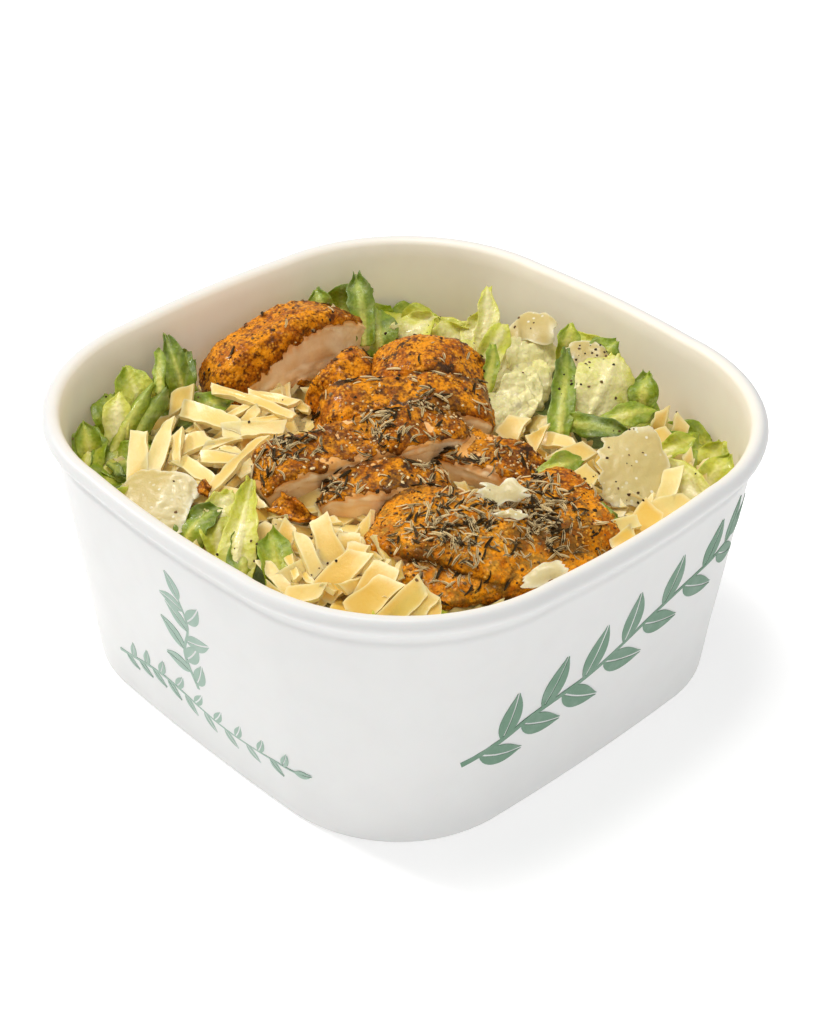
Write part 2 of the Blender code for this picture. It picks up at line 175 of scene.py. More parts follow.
class Graph:
    """A node tree that is written as expressions."""

    math_node = "ShaderNodeMath"

    def __init__(self, tree: Any) -> None:
        """Wraps an empty node tree."""
        self.tree = tree

    def node(self, kind: str, settings: dict[str, Any] | None = None,
             inputs: dict[Any, Any] | None = None) -> Made:
        """Adds one node.

        Args:
            kind: the node's type.
            settings: properties that are set first.
            inputs: socket name or index to a number, a colour or a Value.
        Returns:
            The node that was made.
        """
        node = self.tree.nodes.new(kind)
        for name, value in (settings or {}).items():
            setattr(node, name, value)
        for key, value in (inputs or {}).items():
            socket = node.inputs[key]
            if isinstance(value, Value):
                self.tree.links.new(value.socket, socket)
            elif isinstance(value, tuple) and len(value) == 3 and socket.type == "RGBA":
                socket.default_value = (*value, 1.0)
            else:
                socket.default_value = value
        return Made(self, node)


class Surface(Graph):
    """One Principled material under construction."""

    def __init__(self, name: str) -> None:
        """Makes the material and its output.

        Args:
            name: the material's name.
        """
        self.material = bpy.data.materials.new(name)
        self.material.use_nodes = True
        super().__init__(self.material.node_tree)
        self.tree.nodes.clear()
        self.position = self.node("ShaderNodeTexCoord").out("Object")

    def attribute(self, name: str) -> Value:
        """A number stored on the mesh."""
        return self.node("ShaderNodeAttribute", {"attribute_name": name}).out("Fac")

    def noise(self, size: float, detail: float = 3.0, rough: float = 0.55) -> Value:
        """Soft noise whose blotches are about size metres across."""
        inputs = {"Vector": self.position, "Scale": 1.0 / size, "Detail": detail, "Roughness": rough}
        return self.node("ShaderNodeTexNoise", {}, inputs).out(0)

    def cells(self, size: float) -> Value:
        """Distance inside rounded cells about size metres across."""
        inputs = {"Vector": self.position, "Scale": 1.0 / size}
        return self.node("ShaderNodeTexVoronoi", {}, inputs).out("Distance")

    def mix(self, factor: Any, low: Any, high: Any) -> Value:
        """Blends two colours."""
        return self.node("ShaderNodeMix", {"data_type": "RGBA"}, {0: factor, 6: low, 7: high}).out(2)

    def bump(self, height: Value, depth: float) -> Value:
        """A normal from a height between 0 and 1, depth metres high."""
        return self.node("ShaderNodeBump", {}, {"Height": height, "Distance": depth}).out("Normal")

    def finish(self, **inputs: Any) -> bpy.types.Material:
        """Adds the Principled shader; underscores in the names stand for spaces.

        Args:
            inputs: the shader's inputs.
        Returns:
            The material.
        """
        named = {key.replace("_", " "): value for key, value in inputs.items()}
        shader = self.node("ShaderNodeBsdfPrincipled", {}, named)
        self.node("ShaderNodeOutputMaterial", {}, {"Surface": shader.out(0)})
        return self.material


class Rule(Graph):
    """A geometry node tree with named inputs, which makes a plain mesh from a carrier."""

    def __init__(self, name: str, inputs: Sequence[str]) -> None:
        """Makes the tree's sides; an input called Seed is a whole number.

        Args:
            name: the tree's name.
            inputs: titles of its inputs.
        """
        super().__init__(bpy.data.node_groups.new(name, "GeometryNodeTree"))
        sides = self.tree.interface
        sides.new_socket("Geometry", in_out="INPUT", socket_type="NodeSocketGeometry")
        for title in inputs:
            kind = "Int" if title == "Seed" else "Float"
            sides.new_socket(title, in_out="INPUT", socket_type="NodeSocket" + kind)
        sides.new_socket("Geometry", in_out="OUTPUT", socket_type="NodeSocketGeometry")
        self.given = self.node("NodeGroupInput")

    def named(self, name: str) -> Value:
        """A number stored on the carrier's points."""
        made = self.node("GeometryNodeInputNamedAttribute", {"data_type": "FLOAT"}, {"Name": name})
        return made.out("Attribute")

    def dress(self, shape: Value, material: bpy.types.Material) -> None:
        """Ends the tree with the shape made real, in one material.

        Args:
            shape: the geometry that was made.
            material: its finish.
        """
        real = self.node("GeometryNodeRealizeInstances", {}, {0: shape})
        dressed = self.node("GeometryNodeSetMaterial", {}, {"Geometry": real.out(0), "Material": material})
        self.node("NodeGroupOutput", {}, {0: dressed.out(0)})

    def lay(self, carrier: bpy.types.Object, name: str, **values: float) -> bpy.types.Object:
        """Runs the tree on a carrier and returns the result as a plain mesh object.

        Args:
            carrier: object whose mesh and attributes the tree reads.
            name: name of the new piece.
            values: the tree's named inputs.
        Returns:
            The new piece.
        """
        modifier = carrier.modifiers.new(name, "NODES")
        modifier.node_group = self.tree
        for item in self.tree.interface.items_tree:
            if item.in_out == "INPUT" and item.name in values:
                modifier[item.identifier] = values[item.name]
        made = plain_mesh(carrier, name)
        carrier.modifiers.remove(modifier)
        return made


class Scatter(Rule):
    """A rule that lays small shapes on a carrier's faces."""

    def __init__(self, name: str, shapes: bpy.types.Collection, material: bpy.types.Material,
                 mask: str = "scatter") -> None:
        """Builds the tree.

        Args:
            name: the tree's name.
            shapes: collection that holds the shapes to pick from.
            material: finish of every shape.
            mask: point attribute that the density follows.
        """
        super().__init__(name, ("Density", "Smallest", "Largest", "Lean", "Lift", "Seed"))
        lean, seed = self.given.out("Lean"), self.given.out("Seed")
        points = self.node("GeometryNodeDistributePointsOnFaces", {}, {
            "Mesh": self.given.out("Geometry"), "Density": self.given.out("Density") * self.named(mask),
            "Seed": seed})
        picked = self.node("GeometryNodeCollectionInfo", {},
                           {"Collection": shapes, "Separate Children": True, "Reset Children": True})
        size = self._random(self.given.out("Smallest"), self.given.out("Largest"), seed + 1)
        spin = self._random(0.0, math.tau, seed + 2)
        tips = [self._random(lean * -1, lean, seed + k) for k in (3, 4)]
        turn = self.node("ShaderNodeCombineXYZ", {}, {"X": tips[0], "Y": tips[1], "Z": spin})
        raised = self.node("ShaderNodeCombineXYZ", {}, {"Z": self.given.out("Lift")})
        laid = self.node("GeometryNodeInstanceOnPoints", {}, {
            "Points": points.out("Points"), "Instance": picked.out(0), "Pick Instance": True,
            "Rotation": points.out("Rotation"), "Scale": size})
        leaning = self.node("GeometryNodeRotateInstances", {},
                            {"Instances": laid.out(0), "Rotation": turn.out(0)})
        moved = self.node("GeometryNodeTranslateInstances", {},
                          {"Instances": leaning.out(0), "Translation": raised.out(0)})
        told = self.node("GeometryNodeStoreNamedAttribute", {"data_type": "FLOAT", "domain": "INSTANCE"}, {
            "Geometry": moved.out(0), "Name": "tint", "Value": self._random(0.0, 1.0, seed + 5)})
        self.dress(told.out(0), material)

    def _random(self, low: Any, high: Any, seed: Value) -> Value:
        """A random number for each point."""
        inputs = {2: low, 3: high, 8: seed}
        return self.node("FunctionNodeRandomValue", {"data_type": "FLOAT"}, inputs).out(1)


def plain_mesh(source: bpy.types.Object, name: str) -> bpy.types.Object:
    """A new object with the source's evaluated mesh.

    Args:
        source: object whose evaluated mesh is copied.
        name: the new object's name.
    Returns:
        The new object, linked to the scene.
    """
    graph = bpy.context.evaluated_depsgraph_get()
    data = bpy.data.meshes.new_from_object(source.evaluated_get(graph))
    data.name = name
    return link(bpy.data.objects.new(name, data))


def link(made: bpy.types.Object) -> bpy.types.Object:
    """Puts an object in the scene."""
    bpy.context.scene.collection.objects.link(made)
    return made


def hand_over(made: bpy.types.Object, slot: str, *nodes: str) -> bpy.types.Object:
    """Finishes a piece: kept in the model's box, riding on the body, and standing for its nodes, which are
    hidden.

    Args:
        made: the piece.
        slot: the record's material slot; not used.
        nodes: the nodes that it stands for.
    Returns:
        The piece.
    """
    points = np.empty(len(made.data.vertices) * 3)
    made.data.vertices.foreach_get("co", points)
    points = np.clip(points.reshape(-1, 3), CAD_BOX[0], CAD_BOX[1])
    made.data.vertices.foreach_set("co", points.reshape(-1))
    made.data.update()
    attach(made, BODY)
    if nodes:
        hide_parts(*nodes)
    log.info("%s: %d faces", made.name, len(made.data.polygons))
    return made


# Mesh helpers


def scatter_noise(points: np.ndarray, size: float, seed: float = 0.0) -> np.ndarray:
    """Smooth noise, between about -0.5 and 0.5, at each point.

    Args:
        points: rows of x, y, z in metres.
        size: size of one blotch in metres.
        seed: shifts the pattern.
    Returns:
        One value a point.
    """
    shift = np.array((seed * 7.31, seed * 3.17, seed * 5.73))
    return np.array([noise.noise(row) for row in (points / size + shift).tolist()]) * 0.7


def step(values: np.ndarray, low: float, high: float) -> np.ndarray:
    """A smooth step from 0 at low to 1 at high."""
    share = np.clip((values - low) / (high - low), 0.0, 1.0)
    return share * share * (3 - 2 * share)


def normals_of(points: np.ndarray, faces: np.ndarray) -> np.ndarray:
    """Vertex normals of a mesh of quads.

    Args:
        points: rows of x, y, z.
        faces: rows of four point numbers.
    Returns:
        One unit vector a point.
    """
    corners = points[faces]
    flat = np.cross(corners[:, 2] - corners[:, 0], corners[:, 3] - corners[:, 1])
    total = np.zeros_like(points)
    for k in range(4):
        np.add.at(total, faces[:, k], flat)
    return total / np.maximum(np.linalg.norm(total, axis=1, keepdims=True), 1e-20)


def grid_faces(rows: int, columns: int, closed: bool = False) -> np.ndarray:
    """Quads over a grid of points that is numbered row by row.

    Args:
        rows: number of rows.
        columns: points in a row.
        closed: whether each row joins its own start.
    Returns:
        Rows of four point numbers.
    """
    i, k = np.meshgrid(np.arange(rows - 1), np.arange(columns if closed else columns - 1), indexing="ij")
    after = (k + 1) % columns
    quads = (i * columns + k, i * columns + after, (i + 1) * columns + after, (i + 1) * columns + k)
    return np.stack(quads, axis=-1).reshape(-1, 4)


def capped_faces(rows: int, columns: int) -> np.ndarray:
    """Quads over closed rings, with a fan at each end to the two points that follow the rings.

    Args:
        rows: number of rings.
        columns: points in a ring.
    Returns:
        Rows of four point numbers; a fan's triangles name their tip twice.
    """
    here = np.arange(columns)
    after, base, count = (here + 1) % columns, (rows - 1) * columns, rows * columns
    first, last = np.full(columns, count), np.full(columns, count + 1)
    return np.concatenate((grid_faces(rows, columns, True), np.column_stack((after, here, first, first)),
                           np.column_stack((base + here, base + after, last, last))))


def doubled_faces(rows: int, columns: int) -> np.ndarray:
    """Quads of a closed sheet: a grid, its back on the points that follow, and the rim between them.

    Args:
        rows: number of rows.
        columns: points in a row.
    Returns:
        Rows of four point numbers.
    """
    count = rows * columns
    top = grid_faces(rows, columns)[:, ::-1]
    loop = [k * columns for k in range(rows)] + list(range(count - columns + 1, count))
    loop += [(k + 1) * columns - 1 for k in range(rows - 2, -1, -1)] + list(range(columns - 2, 0, -1))
    rim = [(b, a, a + count, b + count) for a, b in zip(loop, loop[1:] + loop[:1])]
    return np.concatenate((top, top[:, ::-1] + count, np.array(rim)))


@dataclass
class Form:
    """Points and quads, with a number for each point under each attribute's name."""

    points: np.ndarray
    faces: np.ndarray
    marks: dict[str, np.ndarray] = field(default_factory=dict)

    def mark(self, **values: Any) -> "Form":
        """Stores attributes, each an array or one number for all points.

        Args:
            values: the attributes by name.
        Returns:
            The form itself.
        """
        for name, value in values.items():
            self.marks[name] = np.broadcast_to(np.asarray(value, dtype=float), (len(self.points),)).copy()
        return self

    def swell(self, height: np.ndarray) -> "Form":
        """Moves each point along its normal."""
        self.points = self.points + normals_of(self.points, self.faces) * np.asarray(height)[:, None]
        return self


def joined(forms: Sequence[Form]) -> Form:
    """One form made of several that have the same attributes.

    Args:
        forms: the forms, in order.
    Returns:
        The joined form.
    """
    starts = np.cumsum([0] + [len(form.points) for form in forms[:-1]])
    made = Form(np.concatenate([form.points for form in forms]),
                np.concatenate([form.faces + start for form, start in zip(forms, starts)]))
    for name in forms[0].marks:
        made.marks[name] = np.concatenate([form.marks[name] for form in forms])
    return made


def solid(form: Form, name: str, material: bpy.types.Material, crease: float = SMOOTH) -> bpy.types.Object:
    """Turns a form into an object.

    Args:
        form: points, faces and attributes.
        name: the object's name.
        material: its finish.
        crease: angle in degrees past which an edge is shaded sharp.
    Returns:
        The object, linked to the scene.
    """
    data = bpy.data.meshes.new(name)
    quads = [quad if quad[2] != quad[3] else quad[:3] for quad in form.faces.tolist()]
    data.from_pydata(form.points.tolist(), [], quads)
    data.polygons.foreach_set("use_smooth", [True] * len(data.polygons))
    for title, values in form.marks.items():
        layer = data.attributes.new(title, "FLOAT", "POINT")
        layer.data.foreach_set("value", values.astype(np.float32))
    data.materials.append(material)
    data.update()
    if crease < SMOOTH:
        data.set_sharp_from_angle(angle=math.radians(crease))
    return link(bpy.data.objects.new(name, data))


def torn(share: np.ndarray, phase: float, side: int, bites: int) -> np.ndarray:
    """A broken line of random heights between -1 and 1, as along a torn edge.

    Args:
        share: place along the edge, from 0 to 1.
        phase: picks the line.
        side: picks one of the sheet's edges.
        bites: number of stretches.
    Returns:
        The height at each place.
    """
    heights = np.random.default_rng(int(phase * 1000) * 4 + side).uniform(-1, 1, bites + 1)
    return np.interp(share, np.linspace(0, 1, bites + 1), heights)


def turned(vector: Sequence[float], axis: Sequence[float], degrees: float) -> np.ndarray:
    """A vector turned about an axis."""
    return np.array(Matrix.Rotation(math.radians(degrees), 3, Vector(axis)) @ Vector(vector))


# Finishes


@dataclass(frozen=True)
class PaperFinish:
    """Coated white board, creamier inside: the coating's own warm tone, lifted by painted warm light bounced
    from the food.
    """

    outside: Colour = (0.74, 0.74, 0.73)
    # inside colour: partly the coating, partly painted bounced light that makes it warmer and brighter
    inside: Colour = (0.92, 0.85, 0.72)
    # painted glow: the inside gives off light of its own, painted light that brightens the inner walls
    glow: Colour = (0.10, 0.088, 0.062)
    roughness: float = 0.46

    def material(self) -> bpy.types.Material:
        """Builds the material; the painted glow is emission on the inside, a stand-in for the light that the
        thin board lets through.

        Returns:
            The material.
        """
        surface = Surface("coated paper")
        inner = surface.attribute("inside")
        cloud = surface.noise(9 * MM, 4.0)
        white = surface.mix(cloud.ramp(0.35, 0.75) * 0.5, self.outside,
                            tuple(c * 0.965 for c in self.outside))
        # the inside's cream, with painted bounced light in it
        cream_with_bounce = surface.mix(cloud.ramp(0.3, 0.7) * 0.6, self.inside, tuple(c * 0.94 for c in self.inside))
        fibre = surface.noise(0.5 * MM, 3.0)
        return surface.finish(
            Base_Color=surface.mix(inner, white, cream_with_bounce), Roughness=self.roughness + (cloud - 0.5) * 0.12,
            Emission_Color=surface.mix(inner, (0.0, 0.0, 0.0), self.glow), Emission_Strength=1.0,
            Coat_Weight=0.12, Coat_Roughness=0.3, Subsurface_Weight=0.06, Subsurface_Scale=1.0 * MM,
            Normal=surface.bump(fibre * 0.5 + surface.noise(3 * MM, 2.0) * 0.5, 0.05 * MM))


@dataclass(frozen=True)
class InkFinish:
    """Matt printing ink, a little uneven where the board takes less of it."""

    colour: Colour
    roughness: float = 0.55

    def material(self, name: str) -> bpy.types.Material:
        """Builds the material.

        Args:
            name: the material's name.
        Returns:
            The material.
        """
        surface = Surface(name)
        grain = surface.noise(0.35 * MM, 3.0)
        patch = surface.noise(6 * MM, 3.0)
        thin = (grain.ramp(0.55, 0.8) * 0.35 + patch.ramp(0.45, 0.8) * 0.25).clamp()
        colour = surface.mix(thin, self.colour, tuple(c + (0.8 - c) * 0.4 for c in self.colour))
        return surface.finish(Base_Color=colour, Roughness=self.roughness + (grain - 0.5) * 0.15,
                              Normal=surface.bump(grain, 0.02 * MM))


@dataclass(frozen=True)
class ChickenFinish:
    """Seasoned, seared crust over pale cooked meat."""

    flesh: Colour = (0.97, 0.75, 0.45)
    flesh_deep: Colour = (0.88, 0.57, 0.26)
    gold: Colour = (0.86, 0.31, 0.008)
    amber: Colour = (0.50, 0.130, 0.004)
    # brown: the crust's dark browning, also the colour of painted shade on the sides and in the creases
    brown: Colour = (0.125, 0.032, 0.003)
    # fleck: the paler gold of the granules, also painted as a highlight on their tops
    fleck: Colour = (0.96, 0.53, 0.06)
    steeped: Colour = (0.085, 0.045, 0.010)
    # char: burnt spots, also the colour of the painted shade where slices touch
    char: Colour = (0.045, 0.018, 0.007)

    def material(self) -> bpy.types.Material:
        """Builds the material.

        Returns:
            The material.
        """
        surface = Surface("grilled chicken")
        broad = surface.noise(6.0 * MM, 4.0, 0.6)
        mottle = surface.noise(2.4 * MM, 4.0, 0.65)
        grain = surface.noise(0.8 * MM, 4.0, 0.6)
        granule = surface.cells(1.15 * MM)
        crust = (surface.attribute("crust") + (grain - 0.5) * 0.5 + (mottle - 0.5) * 0.5).ramp(0.36, 0.56)
        warm = surface.mix((broad * 0.7 + mottle * 0.3).ramp(0.42, 0.58), self.gold, self.amber)
        # darker between the crust's granules: partly browning, partly painted shade in the pits of the relief
        browned_and_shaded_pits = granule.ramp(0.36, 0.62) * mottle.ramp(0.40, 0.58)
        dark = (browned_and_shaded_pits * 0.6 + mottle.ramp(0.54, 0.64) * 0.45 + grain.ramp(0.56, 0.66) * 0.75).clamp()
        skin = surface.mix(dark, warm, self.brown)
        # paler gold on the granule tops: partly golden seasoning, partly a painted highlight
        skin = surface.mix((1.0 - granule.ramp(0.05, 0.4)) * mottle.ramp(0.38, 0.56) * 0.72, skin, self.fleck)
        skin = surface.mix(surface.attribute("golden") * mottle.ramp(0.44, 0.60) * 0.3, skin, self.fleck)
        # a browner band along the crust's border: partly seared edge, partly painted shade that marks the
        # creases between slices
        skin = surface.mix(surface.attribute("rim") * mottle.ramp(0.3, 0.6) * 0.75, skin, self.brown)
        skin = surface.mix(surface.attribute("shade") * 0.2, skin, self.brown)
        herbed = (surface.attribute("herbed") + (mottle - 0.5) * 1.2 + (grain - 0.5) * 0.6).ramp(0.35, 0.8)
        skin = surface.mix(herbed * 0.42, skin, self.steeped)
        # painted shade where slices touch: the crust goes to char colour, the meat to brown
        painted_crease_shade = (surface.attribute("crease") + (mottle - 0.5) * 0.8).ramp(0.25, 0.9)
        skin = surface.mix(painted_crease_shade * 0.62, skin, self.char)
        burnt = (surface.attribute("char") + (mottle - 0.5) * 1.5 + (grain - 0.5) * 0.8).ramp(0.5, 0.95)
        skin = surface.mix(burnt, skin, self.char)
        fibre = surface.attribute("fibre")
        meat = surface.mix((fibre * 0.6 + broad * 0.5).ramp(0.3, 0.75), self.flesh, self.flesh_deep)
        meat = surface.mix(mottle.ramp(0.62, 0.72) * 0.4, meat, self.amber)
        meat = surface.mix(surface.attribute("edge").ramp(0.1, 1.0) * 0.6, meat, self.gold)
        meat = surface.mix(painted_crease_shade * 0.35, meat, self.brown)
        relief = (1.0 - granule) * 0.5 + grain * 0.5
        return surface.finish(
            Base_Color=surface.mix(crust, meat, skin), Roughness=0.46 - crust * 0.1 + (grain - 0.5) * 0.4,
            Specular_IOR_Level=0.3, Specular_Tint=(1.0, 0.55, 0.2, 1.0),
            Coat_Weight=crust * mottle.ramp(0.42, 0.6) * 0.2, Coat_Roughness=0.12,
            Subsurface_Weight=0.05, Subsurface_Scale=1.2 * MM, Subsurface_Radius=(1.0, 0.42, 0.22),
            Normal=surface.bump(relief * (crust * 0.8 + 0.2), 0.55 * MM))


@dataclass(frozen=True)
class LeafFinish:
    """Romaine: deep green blades that pale towards the rib and the heart, wet with dressing."""

    deep: Colour = (0.105, 0.165, 0.003)
    fresh: Colour = (0.26, 0.35, 0.004)
    light: Colour = (0.60, 0.59, 0.05)
    heart: Colour = (0.86, 0.78, 0.36)

    def material(self) -> bpy.types.Material:
        """Builds the material.

        Returns:
            The material.
        """
        surface = Surface("romaine")
        patch = surface.noise(5 * MM, 3.0)
        fine = surface.noise(1.1 * MM, 3.0)
        tone = (surface.attribute("tone") + (patch - 0.5) * 0.6 + (fine - 0.5) * 0.2 + 0.1).clamp()
        colour = surface.mix(tone.ramp(0.02, 0.36), self.deep, self.fresh)
        colour = surface.mix(tone.ramp(0.28, 0.66), colour, self.light)
        colour = surface.mix(tone.ramp(0.6, 0.98), colour, self.heart)
        colour = surface.mix(surface.attribute("vein") * 0.45, colour, self.heart)
        blister = surface.cells(1.5 * MM)
        return surface.finish(
            Base_Color=colour, Roughness=0.36 + fine * 0.2, Coat_Weight=0.12 + tone.ramp(0.8, 1.0) * 0.25,
            Coat_Roughness=0.1, Subsurface_Weight=0.3, Subsurface_Scale=1.0 * MM,
            Subsurface_Radius=(0.7, 1.0, 0.25),
            Normal=surface.bump(blister * 0.6 + fine * 0.6, 0.45 * MM))


@dataclass(frozen=True)
class CheeseFinish:
    """Hard cheese: creamy yellow, waxy, a little clear at its thin edges, which are painted paler as a
    highlight.
    """

    name: str
    pale: Colour
    deep: Colour
    # edge: the paler colour near the sheets' edges, a painted highlight along the cut edges
    edge: Colour
    roughness: float
    clear: float
    crystals: float = 0.0

    def material(self) -> bpy.types.Material:
        """Builds the material.

        Returns:
            The material.
        """
        surface = Surface(self.name)
        patch = surface.noise(7 * MM, 3.0)
        crumb = surface.noise(0.7 * MM, 4.0, 0.65)
        shade = (surface.attribute("tint") * 0.7 + patch * 0.6 + (crumb - 0.5) * 0.25 - 0.15).clamp()
        colour = surface.mix(shade, self.pale, self.deep)
        # paler towards the edges: a painted highlight along the cut edges; the frost part is the shaving's
        # own whiter cheese
        white = surface.attribute("margin").ramp(0.1, 0.9) * 0.55 + surface.attribute("frost") * 0.3
        colour = surface.mix(white.clamp(), colour, self.edge)
        dots = (1.0 - surface.cells(2.6 * MM).ramp(0.10, 0.22)) * patch.ramp(0.35, 0.6)
        colour = surface.mix(dots * self.crystals, colour, (0.96, 0.92, 0.78))
        relief = crumb * 0.6 + surface.noise(2.4 * MM, 3.0) * 0.6
        return surface.finish(
            Base_Color=colour, Roughness=self.roughness + (crumb - 0.5) * 0.25, Coat_Weight=0.15,
            Coat_Roughness=0.18, Subsurface_Weight=self.clear, Subsurface_Scale=2.4 * MM,
            Subsurface_Radius=(1.0, 0.72, 0.38), Normal=surface.bump(relief, 0.16 * MM))


@dataclass(frozen=True)
class SpeckFinish:
    """Dry flakes and grains whose colour runs through three stops by a random tint, with a painted highlight
    along the flakes' edges.
    """

    name: str
    dark: Colour
    middle: Colour
    light: Colour
    # edge: the colour of the painted highlight along a flake's rims
    edge: Colour = (0.92, 0.73, 0.40)
    roughness: float = 0.5

    def material(self) -> bpy.types.Material:
        """Builds the material.

        Returns:
            The material.
        """
        surface = Surface(self.name)
        tint = surface.attribute("tint") + (surface.noise(0.8 * MM, 3.0) - 0.5) * 0.5
        colour = surface.mix(tint.ramp(0.15, 0.5), self.dark, self.middle)
        colour = surface.mix(tint.ramp(0.55, 0.95), colour, self.light)
        # painted highlight along the flake's edges
        colour = surface.mix(surface.attribute("rim") * tint.ramp(0.28, 0.55), colour, self.edge)
        return surface.finish(Base_Color=colour, Roughness=self.roughness, Specular_IOR_Level=0.3,
                              Specular_Tint=(1.0, 0.8, 0.55, 1.0),
                              Normal=surface.bump(surface.noise(0.3 * MM, 3.0), 0.12 * MM))


@dataclass(frozen=True)
class FillingFinish:
    """The salad between the pieces on top: chopped cheese and leaf, coloured by a mask, in darkened colours
    that are painted shade.
    """

    # cheese and leaf colours darkened: painted shade of the salad deep between the pieces
    cheese: Colour = (0.46, 0.34, 0.11)
    leaf: Colour = (0.15, 0.20, 0.03)

    def material(self) -> bpy.types.Material:
        """Builds the material.

        Returns:
            The material.
        """
        surface = Surface("chopped filling")
        patch = surface.noise(4.5 * MM, 3.0)
        fine = surface.noise(1.2 * MM, 4.0)
        green = (surface.attribute("green") + (patch - 0.5) * 1.1 + (fine - 0.5) * 0.3).ramp(0.35, 0.65)
        colour = surface.mix(green, self.cheese, self.leaf)
        # darker specks: painted shade among the chopped bits
        colour = surface.mix(fine.ramp(0.5, 0.75) * 0.5, colour, (0.10, 0.07, 0.02))
        return surface.finish(Base_Color=colour, Roughness=0.5 + (fine - 0.5) * 0.3, Subsurface_Weight=0.2,
                              Subsurface_Scale=1.5 * MM, Normal=surface.bump(fine, 0.4 * MM))


# Paper bowl


@dataclass(frozen=True)
class BowlForm:
    """The rule for the bowl's shape: a square with round corners that widens from base to rim."""

    height: float = 80.0 * MM
    rim_half: float = 86.0 * MM
    rim_corner: float = 56.5 * MM
    base_half: float = 73.4 * MM
    base_corner: float = 39.4 * MM
    base_bulge: float = 0.8 * MM
    rim_bulge: float = 1.4 * MM
    bead: float = 2.5 * MM
    paper: float = 0.8 * MM
    skirt: float = 6.0 * MM
    skirt_wall: float = 1.6 * MM
    taper_from: float = 48.0 * MM
    taper_to: float = 72.0 * MM

    def wall(self, z: Any, inset: Any = 0.0) -> tuple[Any, Any]:
        """Half width and corner radius of the outer wall at height z, less an inset.

        Args:
            z: height.
            inset: distance inwards.
        Returns:
            Half width and corner radius.
        """
        t = np.clip(z / (self.height - 2 * self.bead), 0.0, 1.0)
        half = self.base_half + (self.rim_half - self.bead - self.base_half) * t
        corner = self.base_corner + (self.rim_corner - self.bead - self.base_corner) * t
        return half - inset, corner - inset

    def lining(self, z: Any) -> Any:
        """Thickness of the paper at height z."""
        t = np.clip((z - self.taper_from) / (self.taper_to - self.taper_from), 0.0, 1.0)
        return self.paper + (self.bead - self.paper) * t

    def keep(self, points: np.ndarray, margin: float) -> np.ndarray:
        """Moves points that are past the inner wall, less a margin, back to it.

        Args:
            points: rows of x, y, z.
            margin: room that is left beside the wall.
        Returns:
            The points, moved where needed.
        """
        half, corner = self.wall(points[:, 2], self.lining(points[:, 2]) + margin)
        core = (half - corner)[:, None]
        flat = points[:, :2]
        over = np.maximum(np.abs(flat) - core, 0.0)
        reach = np.linalg.norm(over, axis=1)
        share = np.where(reach > corner, corner / np.maximum(reach, 1e-9), 1.0)[:, None]
        kept = np.minimum(np.abs(flat), core) + over * share
        moved = np.where(reach[:, None] > corner[:, None], np.copysign(kept, flat), flat)
        return np.column_stack((moved, points[:, 2]))

    def on_side(self, across: float, z: float, proud: float) -> np.ndarray:
        """A point on the outer wall of the side that faces +X.

        Args:
            across: distance along the side from its middle; it follows the corner past its end.
            z: height.
            proud: distance out of the wall.
        Returns:
            The point.
        """
        half, corner = self.wall(z)
        straight = half - corner
        bulge = self.base_bulge + (self.rim_bulge - self.base_bulge) * z / self.height
        if abs(across) <= straight:
            t = (across + straight) / (2 * straight)
            return np.array((half + bulge * 4 * t * (1 - t) + proud, across, z))
        angle = (abs(across) - straight) / corner
        y = straight + (corner + proud) * math.sin(angle)
        return np.array((straight + (corner + proud) * math.cos(angle), math.copysign(y, across), z))

    def half_at(self, direction: np.ndarray, z: np.ndarray, inset: float) -> np.ndarray:
        """Distance from the axis to the inner wall, less an inset, in the given unit directions.

        Args:
            direction: rows of x, y of length one.
            z: height in each direction.
            inset: distance kept from the wall.
        Returns:
            One distance for each direction.
        """
        half, corner = self.wall(z, self.lining(z) + inset)
        core = half - corner
        ray = np.abs(direction)
        long_side = np.max(ray, axis=1)
        flat = half / long_side
        off = np.min(ray, axis=1) * flat > core
        along = core * ray.sum(axis=1)
        root = np.sqrt(np.maximum(along**2 - (2 * core**2 - corner**2), 0.0))
        return np.where(off, along + root, flat)


class BowlTree(Rule):
    """A rule that sets each point of a rolled-up grid on the bowl's shape."""

    sizes = ("Height", "Rim half width", "Base half width", "Rim corner", "Base corner", "Rim bulge",
             "Base bulge", "Waver")

    def __init__(self, material: bpy.types.Material) -> None:
        """Builds the tree, with one named input for each size.

        Args:
            material: the paper.
        """
        super().__init__("rounded square bowl", self.sizes)
        given = self.given
        z, inset = self.named("rise"), self.named("inset")
        t = (z / given.out("Height")).clamp()
        base, corner_base = given.out("Base half width"), given.out("Base corner")
        half = base + (given.out("Rim half width") - base) * t - inset
        corner = corner_base + (given.out("Rim corner") - corner_base) * t - inset
        bulge = given.out("Base bulge") + (given.out("Rim bulge") - given.out("Base bulge")) * t
        place = [(half - corner) * self.named("side_" + axis) + corner * self.named("arc_" + axis)
                 + bulge * self.named("swell_" + axis) for axis in "xy"]
        point = self.node("ShaderNodeCombineXYZ", {}, {"X": place[0], "Y": place[1], "Z": z})
        placed = self.node("GeometryNodeSetPosition", {},
                           {"Geometry": given.out("Geometry"), "Position": point.out(0)})
        ripple = self.node("ShaderNodeTexNoise", {}, {"Scale": 38.0, "Detail": 2.0}).out(0)
        push = (ripple.ramp(0.3, 0.7) - 1.0) * given.out("Waver") * self.named("free")
        facing = self.node("GeometryNodeInputNormal").out(0)
        offset = self.node("ShaderNodeVectorMath", {"operation": "SCALE"}, {0: facing, "Scale": push})
        wavered = self.node("GeometryNodeSetPosition", {},
                            {"Geometry": placed.out(0), "Offset": offset.out(0)})
        self.dress(wavered.out(0), material)


